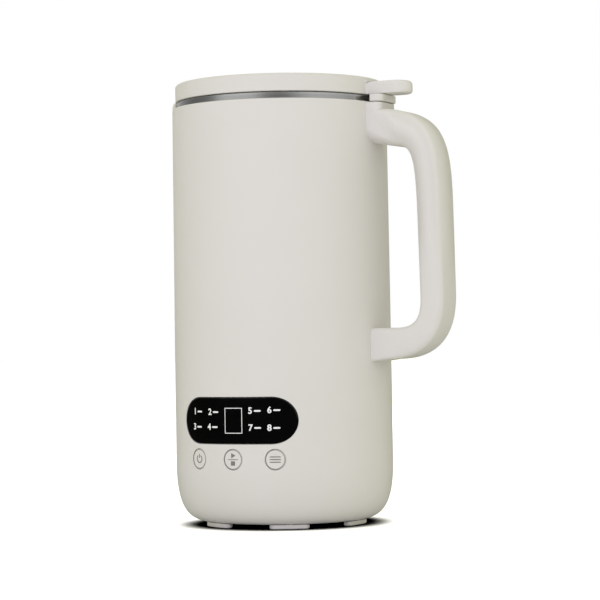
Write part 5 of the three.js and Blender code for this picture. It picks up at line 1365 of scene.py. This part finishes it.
def build_inlet():
    base = sizes("base")
    face, back = high("inlet_socket", 1), low("inlet_socket", 1)
    half_x, half_z, wall, floor = base.inlet_width / 2, base.inlet_tall / 2, 2.1, low("inlet_socket", 1) + 3.4

    def laid(flat, y):
        return [(x, y, z + base.inlet_height) for x, z in flat]

    def turned(piece, x, y, z=0.0):
        """Tips an upright piece over so that its top faces the front."""
        return shift(piece, x, y, base.inlet_height + z, Matrix.Rotation(math.pi / 2, 4, "X"))

    outer, mouth = rounded_box(half_x, half_z, wall, 6), rounded_box(half_x - wall, half_z - wall, wall, 6)
    loops = [laid(outer, back), laid(outer, face - 0.5), laid(inset(outer, 0.15), face - 0.15)]
    loops += [laid(inset(outer, 0.5), face), laid(inset(mouth, -0.5), face)]
    loops += [laid(inset(mouth, -0.12), face - 0.15), laid(mouth, face - 0.6), laid(mouth, floor)]
    socket = loft("mains_inlet", loops)
    flange_half = half_x + GAP + 2
    flange_face = math.sqrt((60 - 2.8) ** 2 - flange_half ** 2) - GAP
    flange = pressed("flange", rounded_box(flange_half, half_z + GAP + 2, 1.0, 3), 0, 2, 0.3)
    boolean(socket, "UNION", turned(flange, 0, flange_face))
    boolean(socket, "DIFFERENCE", turned(pressed("core", mouth, 0, face - floor + 2, 0.05), 0, face + 2))
    for x, z in INLET_PINS.values():
        slot = pressed("slot", rounded_box(1.3, 2.3, 0.4, 2), 0, 8, 0.05)
        boolean(socket, "DIFFERENCE", turned(slot, x, back + 6, z))
    stands(socket, "housing", "nylon", "inlet_socket", sharp=36, even=True)
    for name, (x, z) in INLET_PINS.items():
        node = f"inlet_pin_{name}"
        low_y, high_y = low(node, 1), high(node, 1)
        pin = pressed(f"pin_{name}", rounded_box(1.0, 2.0, 0.35, 4), 0, high_y - low_y, 0.05, 0.8)
        stands(turned(pin, x, high_y, z), "housing", "brass", node, sharp=40)


# Inside the cup and under the lid


def build_blades():
    refined("blade_sheets", "rotor", "steel", "blade_set", 0.25)
    refined("blade_dome_nut", "rotor", "steel", "blade_nut", 0.35)
    refined("blade_spacer_ring", "rotor", "steel", "blade_spacer", 0.3)


def build_seals():
    low_z, high_z = low("shaft_seal", 2), high("shaft_seal", 2)
    neck, brim, bore = 6.0, 9.3, 3.2
    floor_low, floor_high = low_z + 3, high_z - 3
    profile = rounded([
        (bore, low_z, 0.4), (neck, low_z, 0.8), (brim, floor_low, 0.5), (neck, floor_low),
        (neck, floor_high), (brim, floor_high, 0.5), (neck, high_z, 0.8), (bore, high_z, 0.4),
    ], 4)
    stands(revolve("shaft_lip_seal", profile, 64), "housing", "silicone", "shaft_seal", sharp=50)

    low_z, high_z = low("lid_seal", 2), high("lid_seal", 2)
    middle, outer = (low_z + high_z) / 2, high("lid_seal", 1)
    inner = outer - 1.2
    root = inner + 0.6
    profile = rounded([
        (inner, low_z), (inner + 0.5, low_z), (outer, low_z + 1.2, 0.25), (root, low_z + 2.4, 0.3),
        (root, middle - 0.6, 0.2), (outer, middle + 0.6, 0.25), (root, high_z - 1.8, 0.3), (outer, high_z, 0.2),
        (inner, high_z),
    ], 3)
    stands(revolve("lid_lip_seal", profile, 160), "lid", "silicone", "lid_seal", sharp=60)


def build_liner():
    low_z, high_z, brim = low("lid_liner", 2), high("lid_liner", 2), high("lid_liner", 1)
    skirt, wall = 52.3, 1.6
    plate_low = high_z - wall
    profile = rounded([
        (AXIS, plate_low), (skirt - wall, plate_low, 1.2), (skirt - wall, low_z, 0.4), (skirt, low_z, 0.4),
        (skirt, plate_low, 0.6), (brim, plate_low, 0.3), (brim, high_z, 0.3), (AXIS, high_z),
    ], 5)
    liner = revolve("lid_liner_pressing", profile, 160)
    hole = rod_along(3.3, plate_low - 2, high_z + 2, segments=40)
    boolean(liner, "DIFFERENCE", shift(hole, ELECTRODE_REACH))
    stands(liner, "lid", "brushed", "lid_liner", sharp=50, even=True)

    low_z, high_z = low("overflow_electrode", 2), high("overflow_electrode", 2)
    shank, collar, collar_high = 3, 5.1, plate_low - GAP
    collar_low = collar_high - 6
    profile = rounded([
        (AXIS, low_z), (shank, low_z, 1.6), (shank, collar_low), (collar, collar_low, 0.8),
        (collar, collar_high, 0.4), (shank, collar_high), (shank, high_z, 0.5), (AXIS, high_z),
    ], 5)
    rod = shift(revolve("electrode_rod", profile, 48), ELECTRODE_REACH)
    stands(rod, "lid", "steel", "overflow_electrode", sharp=50)

    for name, place in contact_places().items():
        node = f"coupler_pin_{name}"
        low_z, high_z = low(node, 2), high(node, 2)
        profile = rounded([(AXIS, low_z), (0.8, low_z, 0.6), (0.8, high_z, 0.15), (AXIS, high_z)], 5)
        pin = shift(revolve(f"contact_pin_{name}", profile, 24), *place)
        stands(pin, "lid", "brass", node, sharp=50)


CARRIED = {
    "silicone": ["cup_gasket"],
    "steel": ["handle_screw_upper", "handle_screw_lower", "temperature_sensor", "rotor_shaft", "bearing_upper",
              "bearing_lower"],
    "nylon": ["thermal_cutoff", "display_module", "cooling_fan"],
    "aluminium": ["heater_ring", "bracket_upper", "bracket_lower"],
    "board": ["control_board", "power_board"],
    "iron": ["stator_stack", "armature_core", "transformer"],
    "copper": ["field_coil_front", "field_coil_back", "armature_winding"],
    "bar_copper": ["commutator"],
    "brass": ["brush_holder_left", "brush_holder_right"],
    "carbon": ["carbon_brush_left", "carbon_brush_right"],
}


def build_carried():
    """Gives the pieces inside the body, which keep their CAD shape, their real finishes."""
    for key, names in CARRIED.items():
        for name in names:
            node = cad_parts[name]
            for k in range(max(len(node.material_slots), 1)):
                if k >= len(node.data.materials):
                    node.data.materials.append(finish(key))
                node.material_slots[k].link = "OBJECT"
                node.material_slots[k].material = finish(key)
    refined("contact_socket", "housing", "nylon", SOCKET, 0.3)


# Stage


# Brightness of the studio's walls as the object mirrors them, by the turn in degrees from the camera's place
STUDIO_WALLS = [
    (-180, 0.6), (-150, 0.52), (-136, 0.36), (-111, 0.2), (-82, 0.28), (-66, 0.95), (-42, 0.98), (-28, 0.92),
    (-13, 0.36), (1, 0.3), (10, 0.38), (27, 0.78), (40, 0.92), (65, 0.82), (80, 0.72), (89, 0.6), (97, 0.2),
    (104, 0.03), (120, 0.02), (180, 0.3),
]

# The camera's place in metres and its axes, as fitted to the photograph
CAMERA_PLACE = Vector((0.57418, -1.10487, 0.09725))
CAMERA_RIGHT = Vector((0.89067, 0.45436, -0.01600))
CAMERA_UP = Vector((0.02291, -0.00972, 0.99969))
CAMERA_AHEAD = Vector((-0.45406846, 0.89076284, 0.01906307))

# What both softboxes share
SOFTBOX_TINT = (0.625, 0.565, 0.985)
LIGHT_AIM = (0, 0, 0.12)


def area_light(name, place, side, power):
    """A square light that faces the object and isn't mirrored in it."""
    light = bpy.data.lights.new(name, "AREA")
    light.shape = "RECTANGLE"
    light.size = light.size_y = side
    light.energy = power
    light.color = SOFTBOX_TINT
    made = linked(name, light)
    made.location = place
    made.rotation_mode = "QUATERNION"
    made.rotation_quaternion = (Vector(LIGHT_AIM) - Vector(place)).to_track_quat("-Z", "Y")
    made.visible_glossy = False


def build_camera():
    camera = bpy.data.cameras.new("camera")
    camera.lens, camera.sensor_width = 134.57, 36
    camera.clip_start, camera.clip_end = 0.05, 50
    holder = linked("camera", camera)
    axes = Matrix((CAMERA_RIGHT, CAMERA_UP, -CAMERA_AHEAD)).transposed().to_4x4()
    holder.matrix_world = Matrix.Translation(CAMERA_PLACE) @ axes
    bpy.context.scene.camera = holder


def build_world():
    """White to the camera, a slightly green soft box all round to the object, and a dim studio for its mirrors.

    The studio has a bright panel on each side of the camera.
    """
    world = bpy.data.worlds.new("studio")
    tree = emptied(world)
    heading = add_node(tree, "ShaderNodeTexCoord").outputs["Generated"]
    height = add_node(tree, "ShaderNodeSeparateXYZ", {0: heading}).outputs["Z"]
    sideways = add_node(tree, "ShaderNodeVectorMath", {0: heading, 1: CAMERA_RIGHT}, operation="DOT_PRODUCT")
    backwards = add_node(tree, "ShaderNodeVectorMath", {0: heading, 1: -CAMERA_AHEAD}, operation="DOT_PRODUCT")
    turn = add_node(
        tree, "ShaderNodeMath", {0: sideways.outputs["Value"], 1: backwards.outputs["Value"]}, operation="ARCTAN2"
    )
    share = add_node(
        tree, "ShaderNodeMapRange", {"Value": turn.outputs[0], "From Min": -math.pi, "From Max": math.pi}
    )
    walls = add_node(tree, "ShaderNodeValToRGB", {"Fac": share.outputs["Result"]})
    stops = walls.color_ramp.elements
    stops[0].position, stops[1].position = 0.0, 1.0
    for place, value in STUDIO_WALLS:
        stop = stops.new(place / 360 + 0.5) if abs(place) < 180 else stops[0 if place < 0 else len(stops) - 1]
        stop.color = (value, value, value, 1)
    rise = add_node(
        tree, "ShaderNodeMapRange",
        {"Value": height, "From Min": -0.03, "From Max": 0.06, "To Min": 0.06, "To Max": 1.0},
    )
    level = add_node(
        tree, "ShaderNodeMath", {0: walls.outputs["Color"], 1: rise.outputs["Result"]}, operation="MULTIPLY"
    )
    ambient, mirrored, backdrop = (
        add_node(tree, "ShaderNodeBackground", {"Color": tint, "Strength": strength}).outputs[0]
        for tint, strength in (
            ((0.973, 1.0, 0.78, 1), 0.838),
            ((1, 1, 0.98, 1), level.outputs[0]),
            (linear(sizes("colours").studio), 1.0),
        )
    )
    path = add_node(tree, "ShaderNodeLightPath").outputs
    lit = add_node(tree, "ShaderNodeMixShader", {0: path["Is Glossy Ray"], 1: ambient, 2: mirrored})
    mixed = add_node(tree, "ShaderNodeMixShader", {0: path["Is Camera Ray"], 1: lit.outputs[0], 2: backdrop})
    add_node(tree, "ShaderNodeOutputWorld", {"Surface": mixed.outputs[0]})
    bpy.context.scene.world = world


def build_floor():
    """A floor a little brighter to the camera than to the light, so that it meets the white backdrop, with a contact
    shadow painted into its colour near the object.
    """
    material = bpy.data.materials.new("studio_floor")
    tree = emptied(material)
    path = add_node(tree, "ShaderNodeLightPath").outputs
    dimmed = add_node(
        tree, "ShaderNodeMapRange", {"Value": path["Is Glossy Ray"], "To Min": 0.85, "To Max": 0.03}
    )
    # Painted contact shadow: to the camera the floor's colour falls with ambient occlusion close to the object, down
    # to black under it
    near = add_node(tree, "ShaderNodeAmbientOcclusion", {"Distance": 13 * MM}, samples=16)
    contact = add_node(
        tree, "ShaderNodeMapRange",
        {"Value": near.outputs["AO"], "From Min": 0.28, "From Max": 0.8, "To Min": 0.0, "To Max": 1.6},
    )
    ends = {"To Min": dimmed.outputs["Result"], "To Max": contact.outputs["Result"]}
    level = add_node(tree, "ShaderNodeMapRange", {"Value": path["Is Camera Ray"], **ends})
    shade = add_node(tree, "ShaderNodeBsdfDiffuse", {"Color": level.outputs["Result"]})
    add_node(tree, "ShaderNodeOutputMaterial", {"Surface": shade.outputs[0]})
    # A disc and two rings round it
    steps, rings = 64, (50, 2000, 12000)
    ground = -sizes("base").foot_drop
    points = [(radius * c, radius * s, ground) for radius in rings for c, s in circle(steps)]
    faces = [tuple(range(steps))]
    for a in (0, steps):
        faces += [(a + k, a + (k + 1) % steps, a + steps + (k + 1) % steps, a + steps + k) for k in range(steps)]
    floor = new_mesh("studio_floor", points, faces)
    floor.data.materials.append(material)


def build_stage():
    bpy.context.scene.view_settings.view_transform = "Standard"
    build_camera()
    build_world()
    above_camera = CAMERA_PLACE + CAMERA_UP * 0.7 - CAMERA_AHEAD * 0.6 - CAMERA_RIGHT * 0.35
    area_light("front_softbox", above_camera, 1.5, 15.4)
    area_light("back_softbox", CAMERA_AHEAD * 1.9 + CAMERA_UP * 0.9, 1.0, 12.0)
    build_floor()


def build_keys():
    for name, side in KEY_SIDES.items():
        build_key(side, name)


class Step:
    """What all operators share: each runs its build functions in order."""

    steps = ()

    def execute(self, context):
        for step in self.steps:
            step()
        return {"FINISHED"}


class MAKER_OT_shell(Step, bpy.types.Operator):
    """Build the moulded body with its pour lip"""

    bl_idname = "maker.shell"
    bl_label = "Body Shell"
    steps = (build_shell,)


class MAKER_OT_cup(Step, bpy.types.Operator):
    """Build the brushed steel cup"""

    bl_idname = "maker.cup"
    bl_label = "Steel Cup"
    steps = (build_cup,)


class MAKER_OT_handle(Step, bpy.types.Operator):
    """Build the D handle, its boss and its inner strip"""

    bl_idname = "maker.handle"
    bl_label = "Handle"
    steps = (build_handle, build_handle_cover)


class MAKER_OT_lid(Step, bpy.types.Operator):
    """Build the lid with its tab, coupler and underside"""

    bl_idname = "maker.lid"
    bl_label = "Lid"
    steps = (build_lid, build_coupler, build_liner)


class MAKER_OT_panel(Step, bpy.types.Operator):
    """Build the black lens and its printed marks"""

    bl_idname = "maker.panel"
    bl_label = "Control Panel"
    steps = (build_lens, build_marks)


class MAKER_OT_keys(Step, bpy.types.Operator):
    """Build the three keys and their legends"""

    bl_idname = "maker.keys"
    bl_label = "Keys"
    steps = (build_keys,)


class MAKER_OT_base(Step, bpy.types.Operator):
    """Build the feet, base cover and screws"""

    bl_idname = "maker.base"
    bl_label = "Base"
    steps = (build_feet, build_base_cover, build_base_screws)


class MAKER_OT_inlet(Step, bpy.types.Operator):
    """Build the mains inlet and its pins"""

    bl_idname = "maker.inlet"
    bl_label = "Mains Inlet"
    steps = (build_inlet,)


class MAKER_OT_blade(Step, bpy.types.Operator):
    """Build the blade and the shaft seal"""

    bl_idname = "maker.blade"
    bl_label = "Blade"
    steps = (build_blades, build_seals)


class MAKER_OT_inside(Step, bpy.types.Operator):
    """Give the pieces inside the body their finishes"""

    bl_idname = "maker.inside"
    bl_label = "Inside Pieces"
    steps = (build_carried,)


class MAKER_OT_stage(Step, bpy.types.Operator):
    """Build the camera, floor and studio light"""

    bl_idname = "maker.stage"
    bl_label = "Stage"
    steps = (build_stage,)


OPERATORS = [
    MAKER_OT_shell, MAKER_OT_cup, MAKER_OT_handle, MAKER_OT_lid, MAKER_OT_panel, MAKER_OT_keys, MAKER_OT_base,
    MAKER_OT_inlet, MAKER_OT_blade, MAKER_OT_inside, MAKER_OT_stage,
]


class MAKER_PT_sidebar(bpy.types.Panel):
    """Builds the soy milk maker piece by piece"""

    bl_idname = "MAKER_PT_sidebar"
    bl_label = "Soy Milk Maker"
    bl_space_type = "VIEW_3D"
    bl_region_type = "UI"
    bl_category = "Soy Milk Maker"

    def draw(self, context):
        for made in OPERATORS:
            self.layout.operator(made.bl_idname)


CLASSES = [*GROUPS.values(), *OPERATORS, MAKER_PT_sidebar]


def register():
    for made in CLASSES:
        bpy.utils.register_class(made)
    for name, group in GROUPS.items():
        setattr(bpy.types.Scene, name, bpy.props.PointerProperty(type=group))


def unregister():
    for name in GROUPS:
        delattr(bpy.types.Scene, name)
    for made in reversed(CLASSES):
        bpy.utils.unregister_class(made)


def main():
    register()
    for made in OPERATORS:
        step = getattr(bpy.ops.maker, made.bl_idname.split(".")[1])
        if step() != {"FINISHED"}:
            raise RuntimeError(f"{made.bl_label} was not built")


if __name__ == "__main__":
    main()
